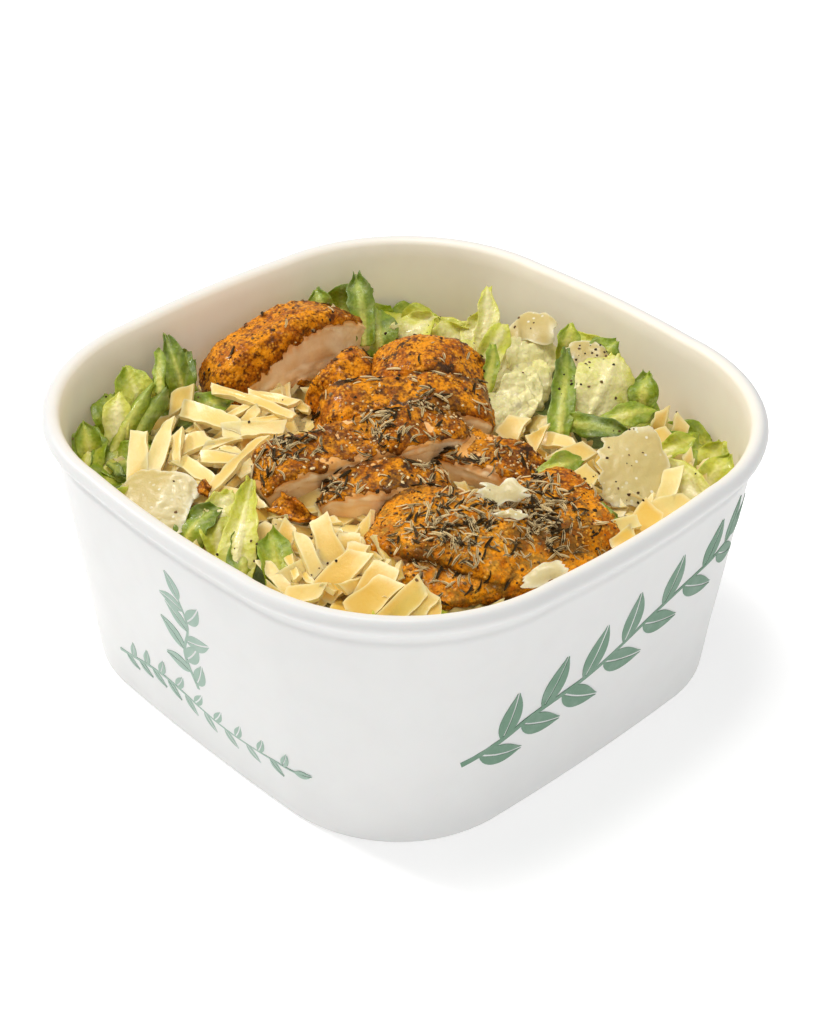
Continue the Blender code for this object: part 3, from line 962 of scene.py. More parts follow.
@dataclass
class PaperBowl:
    """The folded paper bowl with its rolled rim."""

    form: BowlForm = BowlForm()
    corner_steps: int = 20
    side_steps: int = 26
    curl_edge: float = 71.3 * MM
    curl_depth: float = 0.16 * MM
    waver: float = 0.22 * MM

    def profile(self) -> list[Triple]:
        """Inset, height and share of the inside for each level, from under the floor round to its top.

        Returns:
            One row for each level.
        """
        f = self.form
        rows = [(f.skirt_wall, f.skirt, 0.0), (f.skirt_wall, 3 * MM, 0.0), (f.skirt_wall, 0.3 * MM, 0.0),
                (f.skirt_wall - 0.3 * MM, 0.0, 0.0), (0.35 * MM, 0.0, 0.0), (0.0, 0.5 * MM, 0.0)]
        rows += [(0.0, z * MM, 0.0) for z in (3, 7, 13, 20, 28, 36, 44, 52, 60, 66, 69.5)]
        rows += [(0.0, self.curl_edge, 0.0), (self.curl_depth, self.curl_edge + 0.25 * MM, 0.0),
                 (self.curl_depth, 73.5 * MM, 0.0)]
        for degrees in range(-80, 161, 20):
            a = math.radians(degrees)
            inside = min(1.0, max(0.0, (degrees - 60) / 90))
            rows.append((-f.bead * math.cos(a), f.height - f.bead + f.bead * math.sin(a), inside))
        rows += [(float(f.lining(z * MM)), z * MM, 1.0) for z in (74, 70, 66, 60, 54, 48, 38, 26, 14, 9, 7.4)]
        return rows + [(f.paper + 0.9 * MM, f.skirt + f.paper, 1.0)]

    def around(self) -> np.ndarray:
        """For each step round the bowl: its place on the side, the arc and the swell, in x and y.

        Returns:
            One row for each step.
        """
        rows = []
        for quarter in range(4):
            c, s = math.cos(quarter * math.pi / 2), math.sin(quarter * math.pi / 2)
            for k in range(self.corner_steps):
                a = k / (self.corner_steps - 1) * math.pi / 2
                spots = ((1, 1), (math.cos(a), math.sin(a)), (0, 0))
                rows.append([v for x, y in spots for v in (c * x - s * y, s * x + c * y)])
            for k in range(1, self.side_steps):
                t = k / self.side_steps
                spots = ((1 - 2 * t, 1), (0, 1), (0, 4 * t * (1 - t)))
                rows.append([v for x, y in spots for v in (c * x - s * y, s * x + c * y)])
        return np.array(rows)

    def build(self, finish: PaperFinish) -> bpy.types.Object:
        """Builds the bowl with geometry nodes.

        Args:
            finish: the paper.
        Returns:
            The finished piece.
        """
        profile, ring = np.array(self.profile()), self.around()
        rows, columns = len(profile), len(ring)
        form = Form(np.zeros((rows * columns + 2, 3)), capped_faces(rows, columns))
        centre = ((0.0, self.form.skirt, 0.0), (0.0, self.form.skirt + self.form.paper, 1.0))
        for k, name in enumerate(("inset", "rise", "inside")):
            values = np.repeat(profile[:, k], columns)
            form.mark(**{name: np.append(values, [spot[k] for spot in centre])})
        for k, name in enumerate(("side_x", "side_y", "arc_x", "arc_y", "swell_x", "swell_y")):
            form.mark(**{name: np.append(np.tile(ring[:, k], rows), [0.0, 0.0])})
        rise = form.marks["rise"]
        form.mark(free=step(rise, 4 * MM, 14 * MM) * step(rise, 79 * MM, 64 * MM))
        paper = finish.material()
        raw = solid(form, "bowl_grid", paper)
        tree, f = BowlTree(paper), self.form
        sizes = (f.height - 2 * f.bead, f.rim_half - f.bead, f.base_half, f.rim_corner - f.bead,
                 f.base_corner, f.rim_bulge, f.base_bulge, self.waver)
        made = tree.lay(raw, "paper_bowl", **dict(zip(tree.sizes, sizes)))
        bpy.data.objects.remove(raw)
        return hand_over(made, "paper", "bowl")


class Side(Enum):
    """Which printed side of the bowl, by the quarter turns from the side that faces +X."""

    RIGHT = 0
    LEFT = -1


@dataclass
class LeafPrint:
    """One printed side: leaves in two halves along a stem, as thin ink on the wall."""

    name: str
    side: Side
    stem: tuple[tuple[float, float], ...]
    stem_width: float
    leaf: tuple[float, float]
    pairs: int
    lean: float
    finish: InkFinish
    form: BowlForm = BowlForm()
    proud: float = 0.05 * MM

    def spot(self, across: float, z: float, proud: float) -> np.ndarray:
        """A point of the print on the wall."""
        return turned(self.form.on_side(across, z, proud), (0, 0, 1), 90 * self.side.value)

    def path(self, share: float) -> np.ndarray:
        """A point on the stem's smooth line, in mm across and up.

        Args:
            share: place along the stem, from 0 to 1.
        Returns:
            The point.
        """
        knots = [np.array(knot, dtype=float) for knot in self.stem]
        spot = share * (len(knots) - 1)
        k = min(int(spot), len(knots) - 2)
        t = spot - k
        before = knots[k - 1] if k else 2 * knots[0] - knots[1]
        after = knots[k + 2] if k + 2 < len(knots) else 2 * knots[-1] - knots[-2]
        a, b = knots[k], knots[k + 1]
        cubic = 2 * a + (b - before) * t + (2 * before - 5 * a + 4 * b - after) * t * t
        return (cubic + (3 * a - before - 3 * b + after) * t**3) / 2

    def ribbon(self, line: list[np.ndarray], low: list[float], high: list[float]) -> Form:
        """A thin closed strip of ink beside a line.

        Args:
            line: points in mm across and up.
            low: distance to one edge at each point, in mm.
            high: distance to the other edge.
        Returns:
            The strip as a form.
        """
        grid = []
        for k, spot in enumerate(line):
            along = line[min(k + 1, len(line) - 1)] - line[max(k - 1, 0)]
            out = np.array((-along[1], along[0])) / max(np.linalg.norm(along), 1e-9)
            grid.append([spot + out * (low[k] + (high[k] - low[k]) * t) for t in (0, 0.33, 0.67, 1)])
        layers = [[self.spot(x * MM, z * MM, proud) for row in grid for x, z in row]
                  for proud in (self.proud, -0.3 * MM)]
        return Form(np.concatenate([np.array(layer) for layer in layers]), doubled_faces(len(line), 4))

    def blade(self, root: np.ndarray, heading: float, length: float, width: float) -> list[Form]:
        """The two halves of one leaf, with a bare line between them.

        Args:
            root: where the leaf starts, in mm.
            heading: its direction, in radians.
            length: its length in mm.
            width: its width in mm.
        Returns:
            The halves as forms.
        """
        halves = []
        for hand in (-1, 1):
            line, low, high = [], [], []
            for k in range(13):
                s = k / 12
                bend = heading + math.radians(10) * s
                line.append(root + length * s * np.array((math.cos(bend), math.sin(bend))))
                swell = width / 2 * math.sin(math.pi * s**0.8) ** 0.85 if 0 < s < 1 else 0.0
                inner = 0.16 + 0.02 * width
                edges = sorted((hand * inner, hand * max(swell, inner + 0.05)))
                low.append(edges[0])
                high.append(edges[1])
            halves.append(self.ribbon(line, low, high))
        return halves

    def build(self) -> bpy.types.Object:
        """Builds the whole print as one piece.

        Returns:
            The finished piece.
        """
        count = 48
        line = [self.path(k / (count - 1)) for k in range(count)]
        slim = [self.stem_width / 2 * (1 - 0.55 * k / (count - 1)) for k in range(count)]
        forms = [self.ribbon(line, [-w for w in slim], slim)]
        for k in range(self.pairs):
            share = 0.05 + 0.9 * k / (self.pairs - 1)
            root, ahead = self.path(share), self.path(min(1.0, share + 0.02))
            heading = math.atan2(ahead[1] - root[1], ahead[0] - root[0])
            hand = 1 if k % 2 else -1
            grow = 1.0 - 0.35 * abs(share - 0.4)
            if k == self.pairs - 1:
                hand = 0
            forms += self.blade(root, heading + hand * self.lean, self.leaf[0] * grow, self.leaf[1] * grow)
        made = solid(joined(forms), self.name, self.finish.material(self.name.replace("_", " ")), crease=30.0)
        return hand_over(made, "paper")


PRINTS = (
    ("printed_branch", Side.RIGHT, ((-50, 27), (-30, 34), (-8, 38), (14, 46), (38, 52), (50, 55)), 1.8,
     (17, 7.5), 15, 0.85, (0.13, 0.25, 0.165)),
    ("printed_sprig", Side.LEFT, ((4, 25), (1, 36), (5, 48), (3, 58)), 1.1,
     (11, 5.2), 9, 0.95, (0.31, 0.44, 0.36)),
    ("printed_garland", Side.LEFT, ((-34, 15), (-12, 19), (14, 16), (44, 18)), 0.9,
     (7, 3.0), 19, 0.9, (0.31, 0.44, 0.36)),
)


# Leaves, cheese and shavings; places and sizes in mm


CROWDING = 1.35  # how far a sheet's points gather towards its edges
BITE = 2.2  # length of one torn bite along a sheet's sides
END_BITES = 5  # torn bites across a sheet's end
VEIN_GAP = 4.6  # distance between a leaf's side veins
WALL_ROOM = 0.35  # distance kept from the bowl's wall


class Outline(Enum):
    """How a sheet's width runs from its start (0) to its end (1)."""

    LEAF = "leaf"
    SPEAR = "spear"
    SLAB = "slab"
    SHAVING = "shaving"
    WEDGE = "wedge"
    STICK = "stick"

    def width(self, s: np.ndarray, phase: float) -> np.ndarray:
        """Share of the full width at each place along the sheet.

        Args:
            s: places along the sheet, from 0 to 1.
            phase: varies the line.
        Returns:
            One share for each place.
        """
        if self is Outline.LEAF:
            body = 0.45 + 0.55 * np.sin(math.pi * (0.12 + 0.76 * s)) + 0.06 * np.sin(8 * s + phase)
            return body * (1 - 0.65 * step(s, 0.72, 1.02))
        if self is Outline.SPEAR:
            return 1.0 - 0.25 * (1 - s) ** 2 - 0.85 * s**1.6
        if self is Outline.SLAB:
            return 1 - 0.18 * s + 0.05 * np.sin(5 * s + phase)
        if self is Outline.WEDGE:
            return 1.05 - (0.55 + 0.3 * math.sin(phase)) * s
        if self is Outline.STICK:
            return 0.9 + 0.12 * np.sin(3 * s + phase)
        round_end = np.sqrt(np.maximum(1 - np.abs(2 * s - 1) ** 2.6, 0.0))
        return 0.5 + 0.5 * round_end + 0.04 * np.sin(7 * s + phase)


@dataclass(frozen=True)
class Sheet:
    """A thin curved piece between two points; lengths in mm, turns in degrees."""

    start: Triple
    end: Triple
    width: float
    arch: float = 0.0
    turn: float = 0.0
    ruffle: float = 0.0
    outline: Outline = Outline.SLAB
    thickness: float = 1.4
    phase: float = 0.0
    cup: float = 0.0
    slant: tuple[float, float] = (0.0, 0.0)
    pitch: float = 1.0
    crinkle: float = 0.0
    crinkle_size: float = 3.0
    ragged: float = 0.0
    tone: float = 0.5
    veins: float = 0.0
    frost: float = 1.0

    def build(self, form: BowlForm) -> Form:
        """Builds the closed sheet with its relief.

        Args:
            form: the bowl that it stays in.
        Returns:
            The sheet with the marks tone, vein, tint, margin and frost.
        """
        start, end = np.array(self.start) * MM, np.array(self.end) * MM
        length = float(np.linalg.norm(end - start))
        along = (end - start) / length
        side = np.cross((0.35, -0.35, 0.87), along)
        side = turned(side / np.linalg.norm(side), along, self.turn)
        facing = np.cross(along, side)
        steps = max(6, round(length / MM / self.pitch))
        across = max(5, round(self.width / self.pitch))
        s = np.sin(np.linspace(-1, 1, steps + 1) * CROWDING) / math.sin(CROWDING) * 0.5 + 0.5
        t = np.sin(np.linspace(-1, 1, across + 1) * CROWDING) / math.sin(CROWDING)
        s, t = np.meshgrid(s, t, indexing="ij")
        half = self.width * MM / 2 * self.outline.width(s, self.phase)
        bites = max(4, round(length / MM / BITE))
        rip = np.where(t < 0, *(torn(s, self.phase, edge, bites) for edge in (0, 1)))
        half = half + self.ragged * MM * rip * np.abs(t)
        wave = self.ruffle * np.sin(7.5 * s + 2.1 * t + self.phase) * (0.4 + 0.6 * t * t)
        wave = wave + self.ruffle * 0.3 * np.sin(15 * s + 3 * self.phase + 2 * t) * t * t
        lift = (self.arch * 4 * s * (1 - s) + wave + self.cup * t * t) * MM
        shift = (self.slant[0] * (1 - s) + self.slant[1] * s) * t * MM
        rip = np.where(s < 0.5, *(torn(t / 2 + 0.5, self.phase, edge, END_BITES) for edge in (2, 3)))
        shift = shift + self.ragged * MM * rip * np.abs(2 * s - 1) ** 3
        points = (start + along * (length * s + shift)[..., None] + side * (half * t)[..., None]
                  + facing * lift[..., None]).reshape(-1, 3)
        s, t = s.reshape(-1), t.reshape(-1)
        top = grid_faces(steps + 1, across + 1)[:, ::-1]
        rib = np.exp(-((t * self.width / 2.0) ** 2)) * (1 - 0.8 * s)
        rows = s * length / MM * 0.75 - np.abs(t) * self.width * 0.36
        vein = (0.5 + 0.5 * np.cos(rows * math.tau / VEIN_GAP + self.phase)) ** 5
        vein = vein * (1 - rib) * (1 - 0.5 * np.abs(t))
        middle = Form(points, top)
        frost = step(s, self.frost, self.frost + 0.08)
        if self.crinkle:
            rough = 0.35 - np.abs(scatter_noise(points, self.crinkle_size * MM, self.phase)) * 2.2
            rough += 0.5 * scatter_noise(points, self.crinkle_size * 0.45 * MM, self.phase + 3)
            middle.swell(rough * self.crinkle * (1 + 2.0 * frost) * 1.6 * MM)
        if self.veins:
            middle.swell((rib * 1.6 - vein * 0.5) * self.veins * MM)
        points = form.keep(middle.points, (self.thickness / 2 + WALL_ROOM) * MM)
        facing_each = normals_of(points, top)
        rim = np.sqrt(np.maximum(1 - np.abs(t) ** 9, 0.0))
        rim = rim * np.sqrt(np.maximum(1 - np.abs(2 * s - 1) ** 14, 0.0))
        thick = np.full_like(s, self.thickness * MM)
        if self.veins:
            thick = self.thickness * MM * (0.12 + 0.88 * rim) * (0.8 + 1.2 * rib)
        push = facing_each * (thick / 2)[:, None]
        made = Form(np.concatenate((points + push, points - push)), doubled_faces(steps + 1, across + 1))
        tone = self.tone + rib * 0.36 - 0.2 * s - 0.12 * np.abs(t)
        tint = (math.sin(self.phase * 12.9) * 43758.5) % 1.0
        # margin: nearness to the sheet's edge, for the cheese's painted edge highlight
        margin = np.maximum(np.abs(t) ** (0.7 * self.width), np.abs(2 * s - 1) ** (0.35 * length / MM))
        return made.mark(tone=np.tile(tone, 2), vein=np.tile(np.maximum(rib * 0.8, vein * 0.5), 2), tint=tint,
                         margin=np.tile(margin, 2), frost=np.tile(frost, 2))


@dataclass
class HeapForm:
    """The top of the salad under its loose pieces."""

    level: float = 52.0 * MM
    crown: float = 4.0 * MM
    near_rise: float = 4.0 * MM
    bump: float = 1.2 * MM
    bump_size: float = 13.0 * MM
    piles: tuple[tuple[float, ...], ...] = ((-42, -40, 24, 5), (36, -48, 20, 4), (50, 46, 22, 5),
                                            (0, 58, 22, 5), (-50, 50, 22, 4))

    def height(self, x: float, y: float) -> float:
        """Height of the filling at a place.

        Args:
            x: place in metres.
            y: place in metres.
        Returns:
            The height in metres.
        """
        reach = math.hypot(x, y) / (86 * MM)
        rise = noise.noise(Vector((x, y, 0.0)) / self.bump_size)
        height = self.level + self.crown * max(0.0, 1 - reach**2)
        height += self.near_rise * (x - y) / (172 * MM) + self.bump * rise
        for pile_x, pile_y, radius, lift in self.piles:
            away = math.hypot(x / MM - pile_x, y / MM - pile_y) / radius
            height += lift * MM * math.exp(-(away**2))
        return height


@dataclass
class Filling:
    """The body of the salad: it fills the bowl up to the loose pieces."""

    form: BowlForm
    heap: HeapForm
    green_spots: tuple[tuple[float, float, float], ...]
    around: int = 180
    rings: int = 48
    gap: float = WALL_ROOM * MM
    side_levels: tuple[float, float] = (30 * MM, 48 * MM)

    def green(self, x: float, y: float) -> float:
        """Share of leaf at a place given in metres.

        Args:
            x: place in metres.
            y: place in metres.
        Returns:
            The share, from 0 to 1.
        """
        best = 0.0
        for spot_x, spot_y, radius in self.green_spots:
            best = max(best, 1.3 - math.hypot(x / MM - spot_x, y / MM - spot_y) / radius)
        return min(1.0, max(0.0, best))

    def build(self, finish: FillingFinish) -> bpy.types.Object:
        """Builds the filling with a chopped relief on top.

        Args:
            finish: its material.
        Returns:
            The finished piece.
        """
        angles = np.arange(self.around) / self.around * math.tau
        direction = np.column_stack((np.cos(angles), np.sin(angles)))
        floor = self.form.skirt + self.form.paper + self.gap
        rows = []
        for z in (floor, *self.side_levels):
            level = np.full(self.around, z)
            edge = self.form.half_at(direction, level, self.gap)
            rows.append(np.column_stack((direction * edge[:, None], level)))
        for k in range(self.rings):
            share = 1 - k / self.rings
            edge = self.form.half_at(direction, np.full(self.around, self.heap.level), self.gap)
            flat = direction * (edge * share)[:, None]
            level = np.array([self.heap.height(x, y) for x, y in flat.tolist()])
            edge = self.form.half_at(direction, level, self.gap)
            rows.append(np.column_stack((direction * (edge * share)[:, None], level)))
        tips = [[0, 0, floor], [0, 0, self.heap.height(0.0, 0.0)]]
        points = np.concatenate(rows + [tips])
        made = Form(points, capped_faces(len(rows), self.around))
        inner = np.linalg.norm(points[:, :2], axis=1) < 78 * MM
        top = (points[:, 2] > 49 * MM) & inner
        relief = scatter_noise(points, 5 * MM, 1) * 2.6 + np.abs(scatter_noise(points, 2.2 * MM, 2)) * 2.2
        made.swell(np.where(top, relief - 0.9, 0.0) * MM)
        made.points = self.form.keep(made.points, 0.3 * MM)
        made.mark(green=[self.green(x, y) for x, y, _ in points.tolist()])
        return hand_over(solid(made, "salad_filling", finish.material()), "salad", "salad_heap")


# Chicken


TOP_OF_MEAT = 78.6 * MM  # height above which the relief is halved
TOUCH = 2.4  # distance in mm at which two slices stop shading each other
END_TAPER = (0.12, 0.35, 0.58, 0.78, 0.93)  # how the rings widen at a slice's end
END_DOME = 1.6 * MM  # how far a slice's end bulges
SQUARENESS = (0.34, 0.42)  # powers that square a ring across and in depth
LUMP = 0.07  # how uneven the crust side is
SPOT_HERBS = 0.62  # thickness of the herbs in a gathered spot


@dataclass(frozen=True)
class Strip:
    """One slice of seared chicken breast; lengths in mm, turns in degrees.

    drop is how far the crust comes down the knife cuts, skew how much further at the start than near the
    end, and wrap how far it comes over each end.
    """

    name: str
    start: Triple
    end: Triple
    width: float
    depth: float
    roll: float
    blunt: float
    sag: float
    drop: float
    wrap: tuple[float, float]
    char: float
    herbs: float
    skew: float = 0.0

    def place(self) -> tuple[np.ndarray, np.ndarray, np.ndarray, np.ndarray, float]:
        """Middle, direction along, direction across, crust side and length, in metres.

        Returns:
            These five, in that order.
        """
        start, end = np.array(self.start) * MM, np.array(self.end) * MM
        length = float(np.linalg.norm(end - start))
        along = (end - start) / length
        across = np.cross((0, 0, 1), along)
        across = turned(across / np.linalg.norm(across), along, self.roll)
        crust = np.cross(along, across)
        return (start + end) / 2 - crust * self.depth * MM / 2, along, across, crust, length

    def body(self, pitch: float) -> tuple[Form, np.ndarray, np.ndarray]:
        """The smooth slice, as rings that two tips close.

        Args:
            pitch: distance between points, in mm.
        Returns:
            The slice, and for each point its place along and its depth below the crust side, in mm.
        """
        middle, along, across, crust_way, length = self.place()
        rows = max(24, round(length / MM / pitch))
        columns = 2 * round((self.width + self.depth) * 0.92 / pitch)
        taper = np.array(END_TAPER)
        ends = len(taper)
        s = np.concatenate((np.full(ends, -1.0), np.linspace(-1, 1, rows), np.full(ends, 1.0)))
        shrink = np.concatenate((taper, np.ones(rows), taper[::-1]))
        dome = np.concatenate((-np.ones(ends), np.zeros(rows), np.ones(ends))) * END_DOME * (1 - shrink**2)
        a = np.arange(columns) / columns * math.tau
        s_grid, a_grid = np.meshgrid(s, a, indexing="ij")
        end = 0.3 + 0.7 * np.sqrt(np.maximum(0.0, 1 - np.abs(s_grid) ** self.blunt))
        sideways = np.copysign(np.abs(np.cos(a_grid)) ** SQUARENESS[0], np.cos(a_grid))
        rise = np.copysign(np.abs(np.sin(a_grid)) ** SQUARENESS[1], np.sin(a_grid))
        x = length / 2 * s_grid + dome[:, None]
        y = self.width * MM / 2 * (0.6 + 0.4 * end) * sideways * shrink[:, None]
        z = self.depth * MM / 2 * end * rise * shrink[:, None]
        z = z * (1 + LUMP * np.sin(5.1 * s_grid + 1.7 * length / MM) * (rise > 0))
        below = (self.depth * MM / 2 * np.where(end > 0.31, end, 0.3) - z) / MM
        z_sagged = z - self.sag * MM * s_grid**2
        points = middle + x[..., None] * along + y[..., None] * across + z_sagged[..., None] * crust_way
        points = points.reshape(-1, 3)
        tips = np.array([points[:columns].mean(axis=0), points[-columns:].mean(axis=0)])
        made = Form(np.concatenate((points, tips)), capped_faces(len(s), columns))
        return (made, np.append(x.reshape(-1), [x.min(), x.max()]) / MM,
                np.append(below.reshape(-1), [self.depth / 2, self.depth / 2]))

    def build(self, pitch: float) -> Form:
        """Builds the slice with its crust relief and meat fibres.

        Args:
            pitch: distance between points, in mm.
        Returns:
            The slice with its marks: crust, char, fibre, edge, rim, shade, herbed, golden and the masks.
        """
        made, flat_x, flat_below = self.body(pitch)
        points = made.points
        seed = sum(map(ord, self.name)) % 97

        def rough(size: float, shift: int) -> np.ndarray:
            """The slice's own noise, in blotches of size mm."""
            return scatter_noise(points, size * MM, seed + shift)

        wander = rough(5.0, 0) * 3.2 + rough(1.6, 1) * 1.8
        half = self.place()[-1] / MM / 2
        from_top = self.drop + self.skew * np.maximum(0.85 - flat_x / half, 0.0) - flat_below
        from_start = self.wrap[0] - (flat_x + half)
        from_end = self.wrap[1] - (half - flat_x)
        under = flat_below - (self.depth - 1.4)
        near = np.maximum(np.maximum(from_top, under), np.maximum(from_start, from_end))
        crust = step(near + wander, -0.7, 0.9)
        edge = step(near + wander * 0.8, -1.8, -0.2) * (1 - crust)
        # rim: the band along the crust's border, browned in the material as seared edge and painted crease
        # shade
        rim = np.exp(-((near + wander - 1.3) / 1.1) ** 2)

        fibre_points = np.column_stack((flat_x * 0.18, flat_below, flat_x * 0.05)) * MM
        fibre = scatter_noise(fibre_points, 1.3 * MM, seed + 2) + 0.5
        char = step(rough(5, 5) + self.char - 0.62, -0.1, 0.4)
        # darker along the crust's border: partly seared edge, partly painted shade that marks where slices
        # meet
        rim_char_and_shade = np.exp(-((near + wander - 0.9) / 1.3) ** 2) * 0.8
        char = np.clip(char * crust + rim_char_and_shade * self.char, 0, 1)

        coarse = rough(6.5, 3) * 0.7
        bumps = rough(2.1, 4) * 0.6 + rough(1.0, 6) * 0.45 + rough(0.7, 9) * 0.3
        cuts = (fibre - 0.5) * 0.5 + rough(2.2, 7) * 0.6
        relief = coarse * (0.5 + 0.5 * crust) + crust * (bumps + 0.15) + (1 - crust) * (cuts - 0.35)
        made.swell(relief * MM)
        made.points[:, 2] -= np.maximum(made.points[:, 2] - TOP_OF_MEAT, 0.0) * 0.5
        facing = normals_of(made.points, made.faces)
        upward = step(facing[:, 2], 0.25, 0.75)
        patch = step(rough(7, 8), -0.12, 0.22)
        thick = self.herbs * (0.04 + 0.30 * patch**1.5)
        for x_spot, y_spot, radius, strength in HERB_SPOTS:
            away = np.hypot(points[:, 0] / MM - x_spot, points[:, 1] / MM - y_spot) / radius
            thick = thick + SPOT_HERBS * strength * np.exp(-(away**2))
        scatter = crust * upward * thick
        spice = crust * step(facing[:, 2], 0.0, 0.5) * self.herbs * (
            0.06 + 0.94 * step(rough(9, 11) + thick * 0.3, 0.0, 0.25))
        fleck = crust * step(facing[:, 2], -0.2, 0.3)
        return made.mark(crust=crust, char=char, fibre=fibre, edge=edge, rim=rim, scatter=scatter,
                         spice=spice, fleck=fleck,
                         golden=step((points[:, 0] - points[:, 1]) / MM, 25.0, 60.0),
                         shade=step(flat_below, 3.0, 14.0), herbed=step(thick, 0.4, 1.3) * upward)

    def nearness(self, points: np.ndarray) -> np.ndarray:
        """How near points come to this slice: 1 where they touch it, 0 from TOUCH mm away.

        Args:
            points: rows of x, y, z in metres.
        Returns:
            One share a point.
        """
        middle, along, across, crust_way, length = self.place()
        away = points - middle
        depth = np.abs(np.column_stack((away @ along, away @ across, away @ crust_way)))
        depth -= np.array((length, self.width * MM, self.depth * MM)) / 2
        return 1 - step(depth.max(axis=1) / MM, -0.5, TOUCH)


@dataclass
class HerbShape:
    """One dry herb leaf: a rolled trough that tapers to both ends, with a painted highlight along its edges.
    """

    bend: float
    hollow: float
    width: float

    def build(self, name: str) -> bpy.types.Object:
        """Builds the flake, one unit long and centred, with the mark rim for its painted edge highlight.

        Args:
            name: the flake's name.
        Returns:
            The flake.
        """
        rows, columns = 7, 5
        points = []
        for layer in (0.0, -0.03):
            for i in range(rows):
                s = i / (rows - 1)
                wide = self.width / 2 * max(0.1, math.sin(math.pi * (0.05 + 0.9 * s)) ** 0.6)
                for k in range(columns):
                    a = (k / (columns - 1) - 0.5) * 2
                    rise = self.hollow * wide * (a * a - 0.4)
                    y = wide * a + self.bend * 4 * (s - 0.5) ** 2
                    points.append((s - 0.5, y, 0.07 + self.bend * 0.35 * (s - 0.5) + layer + rise))
        form = Form(np.array(points), doubled_faces(rows, columns))
        form.mark(rim=np.tile(np.abs(np.linspace(-1, 1, columns)) ** 1.5, 2 * rows))
        return solid(form, name, bpy.data.materials.new(name))


@dataclass
class GrainShape:
    """One grain of crushed pepper or spice: a small angular lump."""

    seed: float
    flat: float

    def build(self, name: str) -> bpy.types.Object:
        """Builds the grain, about one unit across.

        Args:
            name: the grain's name.
        Returns:
            The grain.
        """
        mesh = bmesh.new()
        bmesh.ops.create_icosphere(mesh, subdivisions=1, radius=0.5)
        for vert in mesh.verts:
            push = 1 + 0.7 * noise.noise(vert.co * 2.1 + Vector((self.seed, 3.1 * self.seed, 0.0)))
            vert.co = vert.co * push
            vert.co.z = vert.co.z * self.flat
        data = bpy.data.meshes.new(name)
        mesh.to_mesh(data)
        mesh.free()
        return link(bpy.data.objects.new(name, data))


def shape_box(name: str, shapes: Sequence[Any]) -> bpy.types.Collection:
    """A collection of small shapes to scatter, kept out of the scene.

    Args:
        name: its name.
        shapes: things with a build method.
    Returns:
        The collection.
    """
    box = bpy.data.collections.new(name)
    for k, shape in enumerate(shapes):
        made = shape.build(f"{name}_{k}")
        bpy.context.scene.collection.objects.unlink(made)
        box.objects.link(made)
    return box


def discard(box: bpy.types.Collection) -> None:
    """Removes a box of shapes once it has been used.

    Args:
        box: the collection.
    """
    for made in list(box.objects):
        bpy.data.objects.remove(made)
    bpy.data.collections.remove(box)


# The salad's pieces; places and sizes in mm


GREEN_SPOTS = ((-70, -38, 20), (-58, -60, 12), (-8, -56, 12), (8, -58, 12), (-56, 44, 26), (-28, 58, 22),
               (-6, 60, 22), (14, 60, 22), (36, 60, 14), (62, 56, 14), (22, 54, 14), (40, 22, 9))

CHICKEN = (
    Strip("chicken_cut_end", (-68, -16, 73.5), (-61, 35, 77.5), 18, 21, -12, 2.2, 4, 1.6, (5, 0.5), 0.35,
          0.12, 6.0),
    Strip("chicken_back_low", (-31, 2, 70), (-35, 24, 72), 14, 18, 30, 2.6, 3, 14, (9, 6), 0.2, 0.2),
    Strip("chicken_back_top", (-27, 14, 81), (-2, 37, 77), 18, 24, 14, 3.2, 5, 18, (8, 8), 0.56, 0.25),
    Strip("chicken_upper", (-23, -10, 76), (6, 28, 76), 16, 20, 14, 8.0, 3, 2.5, (5, -7.5), 0.50, 0.3),
    Strip("chicken_long", (-14, -40, 72), (8, 15, 75), 17.5, 17, 12, 8.0, 1, 1.6, (-4.0, 1.0), 0.35, 0.6),
    Strip("chicken_middle", (-1, -30, 69), (22, -5, 70), 16, 15, 6, 5.0, 1, 1.2, (-1.0, -2.5), 0.45, 0.6),
    Strip("chicken_centre", (8, 8, 70), (35, 20, 66), 17, 15, 6, 5.0, 1, 1.0, (1, -2.0), 0.55, 0.6),
    Strip("chicken_right", (34, 12, 70), (65, 6, 66), 25, 14, 0, 5.0, 1, 5, (8, 4), 0.3, 0.6),
    Strip("chicken_front", (18, -28, 69), (56, -12, 70), 26, 14, 10, 4.5, 2, 5, (8, 7), 0.25, 0.65),
    Strip("chicken_low_front", (43, -41, 63), (67, 6, 65), 17, 16, 24, 4.0, 1, 4.0, (4, 3), 0.05, 0.3),
)


HERB_SPOTS = ((-14, -32, 7, 1.5), (-2, -8, 6, 1.3), (0, 8, 5, 0.9), (4, -30, 4, 1.6), (15, -1, 6, 1.8),
              (42, -20, 10, 1.9), (38, -28, 6, 1.3), (45, 3, 8, 2.2), (55, -2, 6, 1.6), (18, 11, 5, 1.0))


def leaf(start: Triple, end: Triple, width: float, arch: float, turn: float, ruffle: float,
         tone: float, crinkle: float = 0.3, cup: float = 1.0, veins: float = 0.4,
         outline: Outline = Outline.LEAF) -> Sheet:
    """One romaine leaf or piece of one, with its defaults."""
    phase = (start[0] * 1.7 + end[1] * 2.3) % 6.0
    return Sheet(start, end, width, arch, turn, ruffle, outline, 0.7, phase, cup, (0.0, 0.0), 0.7,
                 crinkle, 2.6, 0.55, tone, veins)


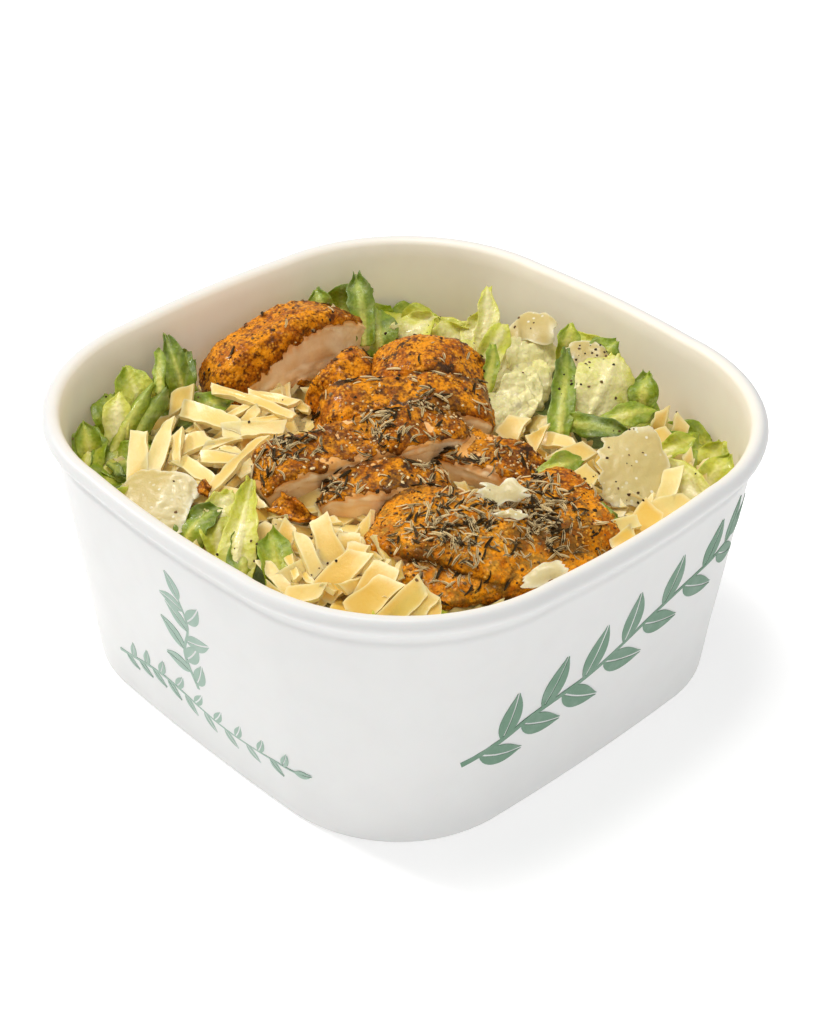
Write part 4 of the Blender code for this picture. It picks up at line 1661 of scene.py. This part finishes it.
LEAVES_LEFT = (
    leaf((-57, -53, 58), (-59, -36, 72), 6, 2, 0, 0.4, 0.24, 0.12, -2.4, 0.2),
    leaf((-58, -59, 57), (-61, -39, 74), 5.5, 2, 6, 0.3, 0.36, 0.12, -2.4, 0.2),
    leaf((-60, -38, 70), (-71, -29, 77), 3.6, 1, 10, 0.2, 0.36, 0.1, 0.8, 0.2),
    leaf((-65, -26, 63), (-76, -23, 77), 11, 2, 10, 0.6, 0.24, 0.15, 1.0, 0.3, Outline.SPEAR),
    leaf((-66, -31, 60), (-74, -17, 70), 9, 2, 20, 0.8, 0.26),
    leaf((-59, -54, 60), (-66, -47, 72), 7.5, 2, 0, 0.6, 0.80, 0.15),
    leaf((-64, -42, 63), (-73, -39, 74), 11, 2, 10, 0.8, 0.60, 0.15),
    leaf((-61, -61, 57), (-66, -60, 68), 7, 2, 0, 0.8, 0.42, 0.15),
    leaf((-66, -50, 56), (-75, -44, 66), 12, 2, 10, 1.0, 0.40),
    leaf((-70, -34, 57), (-76, -14, 66), 11, 2, 24, 1.2, 0.30),
    leaf((-54, -61, 60), (-46, -61, 60), 3, 1, 0, 0.3, 0.14, 0.1, 0.4, 0.2),
    leaf((-58, -66, 56), (-66, -56, 64), 10, 2, 0, 1.2, 0.40),
    leaf((9, -69, 56), (-10, -46, 70), 13, 3, 0, 0.8, 0.78, 0.25, 1.6, 0.6, Outline.SPEAR),
    leaf((20, -63, 56), (5, -53, 64), 9, 2, 10, 1.0, 0.44, 0.2, 2.4, 0.4),
    leaf((10, -67, 57), (-2, -57, 63), 8, 2, 20, 1.0, 0.30),
    leaf((-13, -67, 56), (-12, -56, 65), 11, 2, -20, 1.4, 0.22),
    leaf((-10, -60, 60), (-14, -50, 66), 9, 2, 0, 1.0, 0.84, 0.8, 0.6, 0.2),
    leaf((-2, -64, 58), (-14, -54, 63), 11, 2, 0, 1.4, 0.56),
    leaf((-58, -30, 60), (-52, -18, 64), 9, 2, 0, 1.2, 0.34),
)

LEAVES_BACK = (
    leaf((-69, 28, 57), (-64, 46, 72), 15, 2, 20, 1.6, 0.30),
    leaf((-50, 31, 63), (-65, 41, 78), 8, 2, 10, 0.8, 0.24, 0.2, 1.4, 0.4),
    leaf((-65, 28, 67), (-70, 29, 75), 8, 2, 0, 0.8, 0.36, 0.15),
    leaf((-49, 36, 57), (-59, 44, 67), 12, 2, 10, 1.4, 0.32),
    leaf((-48, 42, 57), (-43, 53, 68), 13, 2, 0, 1.8, 0.86),
    leaf((-30, 55, 56), (-34, 66, 69), 10, 2, 10, 1.2, 0.88),
    leaf((-18, 49, 64), (-31, 63, 79), 7, 2, 10, 0.5, 0.86, 0.15, 0.8, 0.3),
    leaf((-22, 53, 56), (-25, 67, 66), 15, 2, -10, 1.8, 0.92),
    leaf((-40, 48, 57), (-34, 60, 64), 14, 2, 30, 1.8, 0.88),
    leaf((-60, 56, 52), (-50, 64, 58), 15, 2, 10, 1.8, 0.68),
    leaf((-72, 44, 52), (-66, 58, 57), 13, 2, -10, 1.6, 0.56),
    leaf((-18, 46, 60), (-28, 56, 65), 14, 3, 10, 1.6, 0.90),
)

LEAVES_RIGHT = (
    leaf((-10, 39, 66), (-16, 55, 76), 8, 3, 10, 1.0, 0.76),
    leaf((-4, 35, 65), (-11, 45, 75), 5, 2, 20, 0.6, 0.46),
    leaf((1, 40, 56), (-14, 64, 63), 19, 4, 0, 2.2, 1.05, 1.3, 0.0, 0.2),
    leaf((24, 36, 61), (6, 58, 76), 7.5, 2, 10, 0.6, 0.28, 0.2, 1.2, 0.4),
    leaf((24, 47, 63), (18, 67, 76), 17, 3, 10, 1.4, 0.92, 0.4, -1.5, 1.0),
    leaf((1, 62, 68), (-2, 68, 77), 6.5, 2, 10, 0.4, 0.56, 0.15, 1.6, 0.5),
    leaf((11, 65, 67), (14, 71, 77), 11, 2, 0, 1.0, 0.38),
    leaf((31, 63, 62), (27, 70, 73), 8, 3, -10, 1.2, 0.38),
    leaf((30, 56, 57), (26, 70, 66), 13, 3, 10, 1.6, 0.46),
    leaf((20, 43, 64), (40, 50, 66), 6.5, 2, 20, 0.8, 0.20, 0.2, 1.0),
    leaf((29, 48, 65), (36, 63, 67), 7.5, 2, 0, 0.6, 0.42, 0.1, 0.4, 0.2),
    leaf((49, 50, 62), (55, 58, 69), 7, 2, 0, 0.8, 0.60, 0.15, 1.6),
    leaf((64, 50, 58), (65, 61, 67), 8, 2, 0, 0.8, 0.66, 0.15, 1.6),
    leaf((58, 58, 57), (58, 66, 66), 9, 2, 20, 1.4, 0.68),
    leaf((10, 30, 60), (-4, 44, 66), 15, 3, 0, 1.6, 1.10, 1.3, 0.0, 0.1),
    leaf((6, 35, 62), (2, 48, 70), 13, 2, 0, 1.0, 1.15, 1.1, 0.0, 0.1),
    leaf((-4, 52, 58), (-20, 72, 66), 16, 3, 10, 2.0, 1.05, 1.0, 0.0, 0.2),
    leaf((34, 18, 63), (38, 30, 66), 7, 2, 0, 1.0, 0.42),
    leaf((52, 17, 63), (63, 18, 65), 4, 1, 0, 0.6, 0.36),
    leaf((8, 70, 58), (-6, 74, 70), 13, 2, 10, 1.6, 0.76),
)


def slab(start: Triple, end: Triple, width: float, arch: float = 0.6, turn: float = 0.0,
         outline: Outline = Outline.SLAB) -> Sheet:
    """One slice of hard cheese, with its defaults."""
    phase = (start[0] * 2.9 + end[0] * 1.3 + start[1]) % 6.0
    return Sheet(start, end, width, arch, turn, 0.12, outline, 1.5, phase, 0.2,
                 (1.6 * math.sin(phase * 2.0), 1.6 * math.cos(phase * 3.0)), 0.9, 0.06, 3.0, 0.3)


SLABS = (
    slab((-41, -61, 61), (-51, -52, 68), 6),
    slab((-40, -57, 62), (-49, -43, 69), 5.5, 0.6, 8, Outline.WEDGE),
    slab((-35, -52, 63), (-44, -44, 68), 2.6, 0.4, 0, Outline.STICK),
    slab((-42, -44, 64), (-38, -38, 66), 6.5, 0.6, -10),
    slab((-56, -33, 65), (-35, -29, 67), 6, 1.2),
    slab((-38, -33, 66), (-27, -20, 67), 5.5, 0.8),
    slab((-56, -22, 67), (-27, -17, 69), 3.4, 2.0, 0, Outline.STICK),
    slab((-48, -15, 66), (-32, -12, 69), 3.5),
    slab((-61, -33, 64), (-57, -28, 68), 6.5, 0.4, 0, Outline.WEDGE),
    slab((-43, -29, 66), (-41, -21, 68), 2.6, 0.4, 0, Outline.STICK),
    slab((-37, -26, 66), (-37, -21, 69), 4),
    slab((-35, -26, 67), (-30, -17, 68), 2.6, 0.4, 0, Outline.STICK),
    slab((-37, -41, 65), (-33, -32, 66), 3.2, 0.6, 20, Outline.WEDGE),
    slab((-34, -44, 64), (-25, -38, 65), 5, 0.6, -14),
    slab((-32, -39, 66), (-27, -36, 66), 2.4, 0.4, 0, Outline.STICK),
    slab((-39, -48, 63), (-21, -49, 64), 4.5),
    slab((-27, -53, 62), (-12, -47, 64), 4.5),
    slab((-22, -56, 62), (-11, -50, 63), 3.4),
    slab((-19, -54, 65), (-26, -29, 68), 3.0, 0.8, 0, Outline.STICK),
    slab((-21, -42, 64), (-20, -35, 66), 4),
    slab((25, -48, 62), (14, -44, 69), 7),
    slab((25, -54, 62), (15, -51, 68), 4.2),
    slab((25, -42, 62), (21, -40, 66), 6.5),
    slab((15, -53, 61), (26, -57, 61), 2.6, 0.4, 0, Outline.STICK),
    slab((12, -53, 62), (23, -59, 62), 2.6, 0.4, 10, Outline.STICK),
    slab((10, -53, 62), (8, -48, 66), 5.5, 0.4, 0, Outline.WEDGE),
    slab((26, -66, 61), (33, -59, 64), 5.5, 0.4, 0, Outline.WEDGE),
    slab((31, -59, 60), (31, -45, 68), 7.5, 0.8, 4),
    slab((42, -52, 61), (39, -43, 67), 9.5, 0.6, -4),
    slab((42, -58, 60), (44, -46, 67), 8.5, 0.8, 4),
    slab((50, -53, 61), (51, -42, 67), 7, 0.6, 8),
    slab((52, -52, 60), (53, -41, 65.5), 7, 0.6, 8),
    slab((57, -49, 60), (55, -40, 63), 10, 0.6, 0, Outline.WEDGE),
    slab((20, -60, 60), (22, -49, 63), 7, 0.6, 14),
    slab((13, 26, 62), (12, 33, 66), 7),
    slab((21, 28, 63), (20, 35, 66), 5, 0.4, 10, Outline.WEDGE),
    slab((44, 48, 65), (47, 57, 67), 6.5),
    slab((41, 58, 62), (40, 61, 70), 4.5),
    slab((47, 60, 62), (46, 63, 69), 5),
    slab((59, 51, 61), (56, 53, 67), 3.6),
    slab((60, 46, 61), (58, 53, 65), 4.5, 0.4, 10, Outline.WEDGE),
    slab((64, 35, 62), (59, 44, 67), 5.5),
    slab((64, 31, 61), (68, 41, 62.5), 7),
    slab((68, 18, 60), (64, 31, 63), 8),
    slab((62, 13, 63), (66, 22, 64), 4.5, 0.4, 12),
    slab((67, 11, 61), (67, 19, 62.5), 4.5),
    slab((33, 25, 64), (36, 36, 66), 6.5),
    slab((46, 18, 65), (44, 28, 66), 7),
    slab((20, 34, 62), (30, 37, 64), 4.5),
    slab((64, 50, 60), (61, 54, 66), 3.6, 0.4, 0, Outline.STICK),
)


def spiral(count: int, reach: float) -> list[tuple[float, float]]:
    """Places spread evenly over a disc by the golden angle."""
    radii = [reach * math.sqrt((k + 0.5) / count) for k in range(count)]
    return [(r * math.cos(k * GOLDEN_ANGLE), r * math.sin(k * GOLDEN_ANGLE)) for k, r in enumerate(radii)]


@dataclass(frozen=True)
class FlakeRule:
    """How the loose cheese is spread: by the golden angle, thinner where the greens lie."""

    count: int = 520
    reach: float = 77.0
    length: tuple[float, float] = (7.0, 16.0)
    width: tuple[float, float] = (2.4, 6.5)
    rise: tuple[float, float] = (-0.2, 3.6)
    tilt: tuple[float, float] = (-3.5, 4.5)
    bare: tuple[tuple[float, float, float], ...] = ((60, -28, 18), (72, -8, 10), (46, -46, 7))
    thinning: float = 0.8
    stick_width: float = 3.2
    seed: int = 11

    def sheets(self, heap: HeapForm, filling: Filling) -> list[Sheet]:
        """Draws the loose slices.

        Args:
            heap: gives the height under each one.
            filling: tells where leaf lies.
        Returns:
            One sheet for each slice.
        """
        draw = random.Random(self.seed)
        made = []
        for x, y in spiral(self.count, self.reach):
            z = heap.height(x * MM, y * MM) / MM + draw.uniform(*self.rise)
            heading, length = draw.uniform(0, math.tau), draw.uniform(*self.length)
            width, tilt = draw.uniform(*self.width), draw.uniform(*self.tilt)
            turn, phase = draw.uniform(-48, 48), draw.uniform(0, 6)
            slant = (draw.uniform(-2, 2), draw.uniform(-2, 2))
            kind = draw.choice((Outline.SLAB, Outline.WEDGE, Outline.WEDGE, Outline.STICK))
            bare = any(math.hypot(x - spot[0], y - spot[1]) < spot[2] for spot in self.bare)
            if bare or draw.random() < filling.green(x * MM, y * MM) * self.thinning:
                continue
            if kind is Outline.STICK:
                width = min(width, self.stick_width)
            dx, dy = math.cos(heading) * length / 2, math.sin(heading) * length / 2
            made.append(Sheet((x - dx, y - dy, z - tilt), (x + dx, y + dy, z + tilt), width,
                              draw.uniform(-0.5, 1.0), turn, 0.15, kind, draw.uniform(1.0, 1.6), phase,
                              draw.uniform(-0.3, 0.3), slant, 1.6, 0.05, 3.0, 0.3))
        return made


@dataclass(frozen=True)
class BedRule:
    """How pieces of leaf and slices lie flat in the bowl's corners, clear of the chicken."""

    count: int = 560
    reach: float = 96.0
    middle: float = 73.0
    leaf_share: float = 0.5
    leaf_half: float = 9.5
    slice_half: float = 5.5
    rise: tuple[float, float] = (0.4, 2.4)
    near_drop: float = 2.6
    near: tuple[float, float] = (70.0, 95.0)
    wall_room: float = 3.5
    seed: int = 23

    def free(self, form: BowlForm, x: float, y: float, z: float) -> bool:
        """Tells whether a place is outside the middle, inside the wall and clear of the chicken.

        Args:
            form: the bowl.
            x: the place, in mm.
            y: the place, in mm.
            z: the place, in mm.
        Returns:
            True where a piece may lie.
        """
        place = np.array(((x, y, z),)) * MM
        bare = any(math.hypot(x - a, y - b) < radius for a, b, radius in FlakeRule.bare)
        if math.hypot(x, y) < self.middle and not bare:
            return False
        if np.abs(form.keep(place, self.wall_room * MM) - place).max() > 0.01 * MM:
            return False
        return all(strip.nearness(place)[0] < 0.05 for strip in CHICKEN)

    def sheets(self, form: BowlForm, heap: HeapForm) -> tuple[list[Sheet], list[Sheet]]:
        """Draws the pieces of leaf and the slices.

        Args:
            form: the bowl.
            heap: gives the height under each one.
        Returns:
            The pieces of leaf, and the slices.
        """
        draw = random.Random(self.seed)
        leaves, slices = [], []
        for k, (x, y) in enumerate(spiral(self.count, self.reach)):
            z = heap.height(x * MM, y * MM) / MM + draw.uniform(*self.rise)
            z -= self.near_drop * float(step(x - y, *self.near))
            heading, tilt, turn = draw.uniform(0, math.tau), draw.uniform(-2, 2), draw.uniform(-25, 25)
            green, size = draw.random() < self.leaf_share, draw.uniform(0.8, 1.3)
            if not self.free(form, x, y, z):
                continue
            reach = (self.leaf_half if green else self.slice_half) * size
            dx, dy = math.cos(heading) * reach, math.sin(heading) * reach
            start, end = (x - dx, y - dy, z - tilt), (x + dx, y + dy, z + tilt)
            if green:
                made = leaf(start, end, 12 * size, 2, turn, 1.2, draw.uniform(0.25, 0.95), 0.25)
                leaves.append(replace(made, pitch=1.1))
            else:
                slices.append(Sheet(start, end, draw.uniform(3, 7), 0.6, turn, 0.15, Outline.WEDGE, 1.3,
                                    k % 6.0, 0.2, (1.5, -1.0), 1.6, 0.05, 3.0, 0.3))
        return leaves, slices


def shaving(start: Triple, end: Triple, width: float, arch: float, turn: float, crinkle: float = 0.06,
            frost: float = 1.0, ragged: float = 0.7) -> Sheet:
    """One parmesan shaving, with its defaults."""
    return Sheet(start, end, width, arch, turn, 0.5, Outline.SHAVING, 0.55, (start[0] * 1.3) % 6.0, -0.8,
                 (1.2, -0.8), 0.5, crinkle, 2.8, ragged, frost=frost)


SHAVINGS = {
    "shaving_front_left": shaving((-41, -68, 62), (-18, -61, 65), 20, 1.5, -4, 0.12, 0.56),
    "shaving_right": shaving((57, 27, 64), (45, 44, 75), 19, 1.5, 6, 0.16, 1.0, 2.2),
    "shaving_back": shaving((-23, 66, 64), (-10, 70, 66), 11, 1, 0),
    "shaving_clump": shaving((5, 58, 74), (17, 64, 72), 12, 1, 0, 0.1),
    "shaving_centre": shaving((37, -8, 74), (45, 0, 74), 6, 0, 0, 0.05, -0.1, 1.6),
    "shaving_sliver": shaving((45, -10, 72), (50, -5, 72), 2.6, 0, 0, 0.03, -0.1, 0.9),
    "shaving_low_front": shaving((62, -17, 66), (66, -7, 68), 5, 0, 0, 0.05, -0.1, 1.0),
}
PEPPERED = {"shaving_right": 0.25, "shaving_clump": 1.3, "shaving_back": 0.5}
PEPPER_SPOTS = ((14, 57, 6.0), (15, 51, 4.0), (40, 44, 4.0), (39, 37, 3.0), (47, 25, 2.5), (60, 30, 3.0))
SHAVING_DROP = {"shaving_front_left": 1.6, "shaving_right": 0.5, "shaving_back": 2.0, "shaving_clump": 1.5}

HERB_SHAPES = ((0.06, 1.2, 0.17), (-0.12, 0.9, 0.14), (0.03, 1.4, 0.20), (0.18, 0.8, 0.13),
               (-0.05, 1.1, 0.19))
HARD_CHEESE = CheeseFinish("hard cheese", (0.90, 0.72, 0.28), (0.84, 0.50, 0.045), (0.95, 0.84, 0.50), 0.36,
                           0.35)
PARMESAN = CheeseFinish("parmesan shaving", (0.68, 0.55, 0.24), (0.54, 0.40, 0.11), (0.88, 0.80, 0.57), 0.34,
                        0.4, 0.7)
DRY_HERBS = SpeckFinish("dried herbs", (0.032, 0.018, 0.005), (0.10, 0.055, 0.014), (0.38, 0.25, 0.08))
SPICE = SpeckFinish("spice grains", (0.14, 0.038, 0.005), (0.48, 0.16, 0.012), (0.78, 0.40, 0.05),
                    roughness=0.4)
PEPPER = SpeckFinish("crushed pepper", (0.018, 0.012, 0.008), (0.07, 0.035, 0.015), (0.2, 0.11, 0.05))


def peppered(points: np.ndarray) -> np.ndarray:
    """How much pepper fell at each point: 1 in the middle of a pinch.

    Args:
        points: rows of x, y, z in metres.
    Returns:
        One share a point.
    """
    amount = np.zeros(len(points))
    for x, y, radius in PEPPER_SPOTS:
        away = np.hypot(points[:, 0] / MM - x, points[:, 1] / MM - y) / radius
        amount = np.maximum(amount, np.exp(-(away**2)))
    return amount


@dataclass
class Salad:
    """Everything in the bowl."""

    form: BowlForm = BowlForm()
    heap: HeapForm = field(default_factory=HeapForm)
    pitch: float = 0.52
    pinch: float = 24.0

    def dress_flap(self) -> bpy.types.Object:
        """Builds the loose bit of browned skin below the strips.

        Returns:
            The finished piece.
        """
        bits = (Sheet((-6, -41, 62.5), (9, -37, 61.5), 6, 1.5, 26, 0.6, Outline.WEDGE, 1.1, 2.0, 0.8, (1, -1),
                      0.5, 0.2, 2.2, 0.8),
                Sheet((-22, -54, 66), (-18, -54, 66), 3.4, 0.6, 30, 0.5, Outline.SHAVING, 1.2, 4.0, 0.3,
                      (0, 0), 0.6, 0.3, 2.0, 0.6))
        form = joined([bit.build(self.form) for bit in bits])
        form.mark(crust=1.0, char=0.25, fibre=0.5, edge=0.0, rim=0.2, scatter=0.1, shade=0.3, herbed=0.0,
                  crease=0.0, golden=0.0)
        finish = bpy.data.materials["grilled chicken"]
        return hand_over(solid(form, "skin_flap", finish), "chicken")

    def piece(self, name: str, sheets: Sequence[Sheet], material: bpy.types.Material, slot: str,
              node: str) -> bpy.types.Object:
        """Builds several sheets as one piece that stands for a node.

        Args:
            name: the piece's name.
            sheets: what it is made of.
            material: its finish.
            slot: its material slot in the record.
            node: the CAD node that it helps to stand for.
        Returns:
            The finished piece.
        """
        form = joined([sheet.build(self.form) for sheet in sheets])
        upward = step(normals_of(form.points, form.faces)[:, 2], 0.3, 0.7)
        form.mark(scatter=upward * (1 + self.pinch * peppered(form.points)))
        crease = CUT_EDGE if slot == "cheese" else SMOOTH
        return hand_over(solid(form, name, material, crease), slot, node)

    def dress_heap(self) -> list[bpy.types.Object]:
        """Builds the filling, the leaves and the cheese slices.

        Returns:
            The finished pieces, the filling first.
        """
        filling = Filling(self.form, self.heap, GREEN_SPOTS)
        made = [filling.build(FillingFinish())]
        romaine = LeafFinish().material()
        bed_leaves, bed_slices = BedRule().sheets(self.form, self.heap)
        for name, leaves in (("leaves_left", LEAVES_LEFT), ("leaves_back", LEAVES_BACK),
                             ("leaves_right", LEAVES_RIGHT), ("leaves_low", bed_leaves)):
            made.append(self.piece(name, leaves, romaine, "salad", "salad_heap"))
        cheese = HARD_CHEESE.material()
        made.append(self.piece("cheese_slabs", SLABS, cheese, "cheese", "salad_heap"))
        loose = FlakeRule().sheets(self.heap, filling) + bed_slices
        made.append(self.piece("cheese_slices", loose, cheese, "cheese", "salad_heap"))
        return made

    def dress_shavings(self) -> list[bpy.types.Object]:
        """Builds the parmesan shavings, each resting where its node rests.

        Returns:
            The finished pieces.
        """
        finish = PARMESAN.material()
        made = []
        for name, sheet in SHAVINGS.items():
            form = sheet.build(self.form)
            low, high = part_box(name)
            form.points[:, 2] += (low[2] + high[2] - form.points[:, 2].min() - form.points[:, 2].max()) / 2
            form.points[:, 2] -= SHAVING_DROP.get(name, 0.0) * MM
            amount = PEPPERED.get(name, 0.1) + 1.1 * peppered(form.points)
            form.mark(scatter=step(normals_of(form.points, form.faces)[:, 2], 0.3, 0.6) * amount)
            made.append(hand_over(solid(form, name + "_cut", finish, CUT_EDGE), "cheese", name))
        return made

    def dress_chicken(self) -> list[bpy.types.Object]:
        """Builds the chicken strips, each in place of its node.

        Returns:
            The finished pieces.
        """
        finish = ChickenFinish().material()
        made = []
        for strip in CHICKEN:
            form = strip.build(self.pitch)
            near = [other.nearness(form.points) for other in CHICKEN if other is not strip]
            # nearness to the other slices, which the material turns into painted shade in the creases
            form.mark(crease=np.max(near, axis=0))
            made.append(hand_over(solid(form, strip.name + "_meat", finish), "chicken", strip.name))
        return made

    @staticmethod
    def sprinkle(tree: Scatter, carrier: bpy.types.Object, name: str, slot: str, node: str,
                 **sizes: float) -> None:
        """Lays specks on a piece and hands them over, where any fell.

        Args:
            tree: how the specks are spread.
            carrier: the piece that they lie on.
            name: their name.
            slot: their material slot in the record.
            node: the CAD node that they help to stand for.
            sizes: the tree's inputs.
        """
        made = tree.lay(carrier, name, **sizes)
        if made.data.polygons:
            hand_over(made, slot, node)
        else:
            bpy.data.objects.remove(made)

    def season(self, chicken: Sequence[bpy.types.Object], shavings: Sequence[bpy.types.Object],
               heap: Sequence[bpy.types.Object]) -> None:
        """Scatters dry herbs and spice on the chicken, and crushed pepper over everything.

        Args:
            chicken: the strips.
            shavings: the parmesan shavings.
            heap: the leaves and slices.
        """
        herbs = shape_box("herb", [HerbShape(bend, hollow, width) for bend, hollow, width in HERB_SHAPES])
        grits = shape_box("grit", [GrainShape(k * 2.1 + 0.5, 0.75) for k in range(3)])
        grains = shape_box("grain", [GrainShape(k * 1.3, 0.6 + 0.1 * k) for k in range(4)])
        layers = (
            (Scatter("dry herbs", herbs, DRY_HERBS.material()), "_herbs", 20,
             {"Density": 520000.0, "Smallest": 2.0 * MM, "Largest": 5.0 * MM, "Lean": 0.4, "Lift": 0.1 * MM}),
            (Scatter("spice grains", grits, SPICE.material(), "spice"), "_spice", 120,
             {"Density": 700000.0, "Smallest": 0.45 * MM, "Largest": 1.0 * MM, "Lean": 0.8,
              "Lift": 0.02 * MM}))
        for tree, ending, seed, sizes in layers:
            for k, carrier in enumerate(chicken):
                node = carrier.name.removesuffix("_meat")
                self.sprinkle(tree, carrier, node + ending, "chicken", node, Seed=seed + k, **sizes)
        pepper = PEPPER.material()
        on_food, on_crust = (Scatter("crushed pepper", grains, pepper, mask)
                             for mask in ("scatter", "fleck"))
        groups = ((chicken, on_crust, "chicken", 34000.0, 1.4), (shavings, on_food, "cheese", 120000.0, 1.1),
                  (heap, on_food, "cheese", 5000.0, 1.1))
        seed = 60
        for carriers, tree, slot, density, largest in groups:
            for carrier in carriers:
                own = carrier.name.removesuffix("_meat").removesuffix("_cut")
                self.sprinkle(tree, carrier, carrier.name + "_pepper", slot,
                              "salad_heap" if carriers is heap else own, Density=density, Smallest=0.35 * MM,
                              Largest=largest * MM, Lean=0.6, Lift=0.05 * MM, Seed=seed)
                seed += 1
        for box in (herbs, grits, grains):
            discard(box)


# Camera, lights and floor


@dataclass(frozen=True)
class Studio:
    """White sweep, soft light from the left and a camera at the photograph's angle."""

    lens: float = 73.374
    distance: float = 585.16 * MM
    azimuth: float = 45.841
    elevation: float = 34.949
    roll: float = 1.023
    aim: Triple = (0.0, 0.0, 45.0 * MM)
    shift: tuple[float, float] = (1.673 * MM, -1.417 * MM)

    def camera(self) -> None:
        """Places the camera."""
        az, el, roll = (math.radians(v) for v in (self.azimuth, self.elevation, self.roll))
        back = Vector((math.sin(az) * math.cos(el), -math.cos(az) * math.cos(el), math.sin(el)))
        level = Vector((math.cos(az), math.sin(az), 0.0))
        upright = back.cross(level)
        right = math.cos(roll) * level + math.sin(roll) * upright
        up = math.cos(roll) * upright - math.sin(roll) * level
        data = bpy.data.cameras.new("photo camera")
        data.sensor_width, data.lens, data.clip_start = 36.0, self.lens, 0.01
        made = link(bpy.data.objects.new("photo camera", data))
        made.matrix_world = Matrix((right, up, back)).transposed().to_4x4()
        made.matrix_world.translation = (Vector(self.aim) + back * self.distance
                                         + right * self.shift[0] + up * self.shift[1])
        bpy.context.scene.camera = made

    def lamp(self, name: str, place: Triple, size: float, power: float, colour: Colour) -> None:
        """Adds one square soft light that points at the bowl.

        Args:
            name: its name.
            place: where it stands, in metres.
            size: its side in metres.
            power: its power in watts.
            colour: the colour of its light.
        """
        data = bpy.data.lights.new(name, "AREA")
        data.size, data.energy, data.color = size, power, colour
        made = link(bpy.data.objects.new(name, data))
        made.location = place
        made.rotation_euler = (Vector(self.aim) - made.location).to_track_quat("-Z", "Y").to_euler()

    def lights(self) -> None:
        """Adds the lights and the white surroundings."""
        self.lamp("key", (-0.95, -0.35, 0.9), 0.2, 6.5, (1.0, 0.98, 0.95))
        self.lamp("top", (-0.15, -0.05, 1.2), 0.4, 5.6, (1.0, 0.99, 0.97))
        self.lamp("fill", (0.9, -0.6, 0.6), 0.5, 1.6, (1.0, 0.99, 0.98))
        world = bpy.data.worlds.new("white room")
        world.use_nodes = True
        world.node_tree.nodes["Background"].inputs["Color"].default_value = (1.0, 1.0, 1.0, 1.0)
        world.node_tree.nodes["Background"].inputs["Strength"].default_value = 0.5
        bpy.context.scene.world = world
        bpy.context.scene.view_settings.view_transform = "Standard"

    def floor(self) -> None:
        """Lays the pale floor under the bowl."""
        mesh = bmesh.new()
        bmesh.ops.create_grid(mesh, x_segments=8, y_segments=8, size=3.0)
        data = bpy.data.meshes.new("floor")
        mesh.to_mesh(data)
        mesh.free()
        surface = Surface("floor white")
        tone = surface.mix(surface.noise(0.4, 2.0), (0.93, 0.93, 0.93), (0.95, 0.95, 0.95))
        data.materials.append(surface.finish(Base_Color=tone, Roughness=0.7, Emission_Color=(1.0, 1.0, 1.0),
                                             Emission_Strength=0.32))
        made = link(bpy.data.objects.new("floor", data))
        made.location.z = -0.0004


def main() -> None:
    """Builds the bowl, the salad and the studio in order."""
    logging.basicConfig(level=logging.INFO, format="%(name)s: %(message)s")
    form = BowlForm()
    PaperBowl(form).build(PaperFinish())
    for name, side, stem, stem_width, leaf_size, pairs, lean, ink in PRINTS:
        LeafPrint(name, side, stem, stem_width, leaf_size, pairs, lean, InkFinish(ink), form).build()
    salad = Salad(form)
    heap = salad.dress_heap()
    shavings = salad.dress_shavings()
    chicken = salad.dress_chicken()
    salad.dress_flap()
    salad.season(chicken, shavings, heap[1:])
    studio = Studio()
    studio.floor()
    studio.lights()
    studio.camera()


if __name__ == "__main__":
    main()
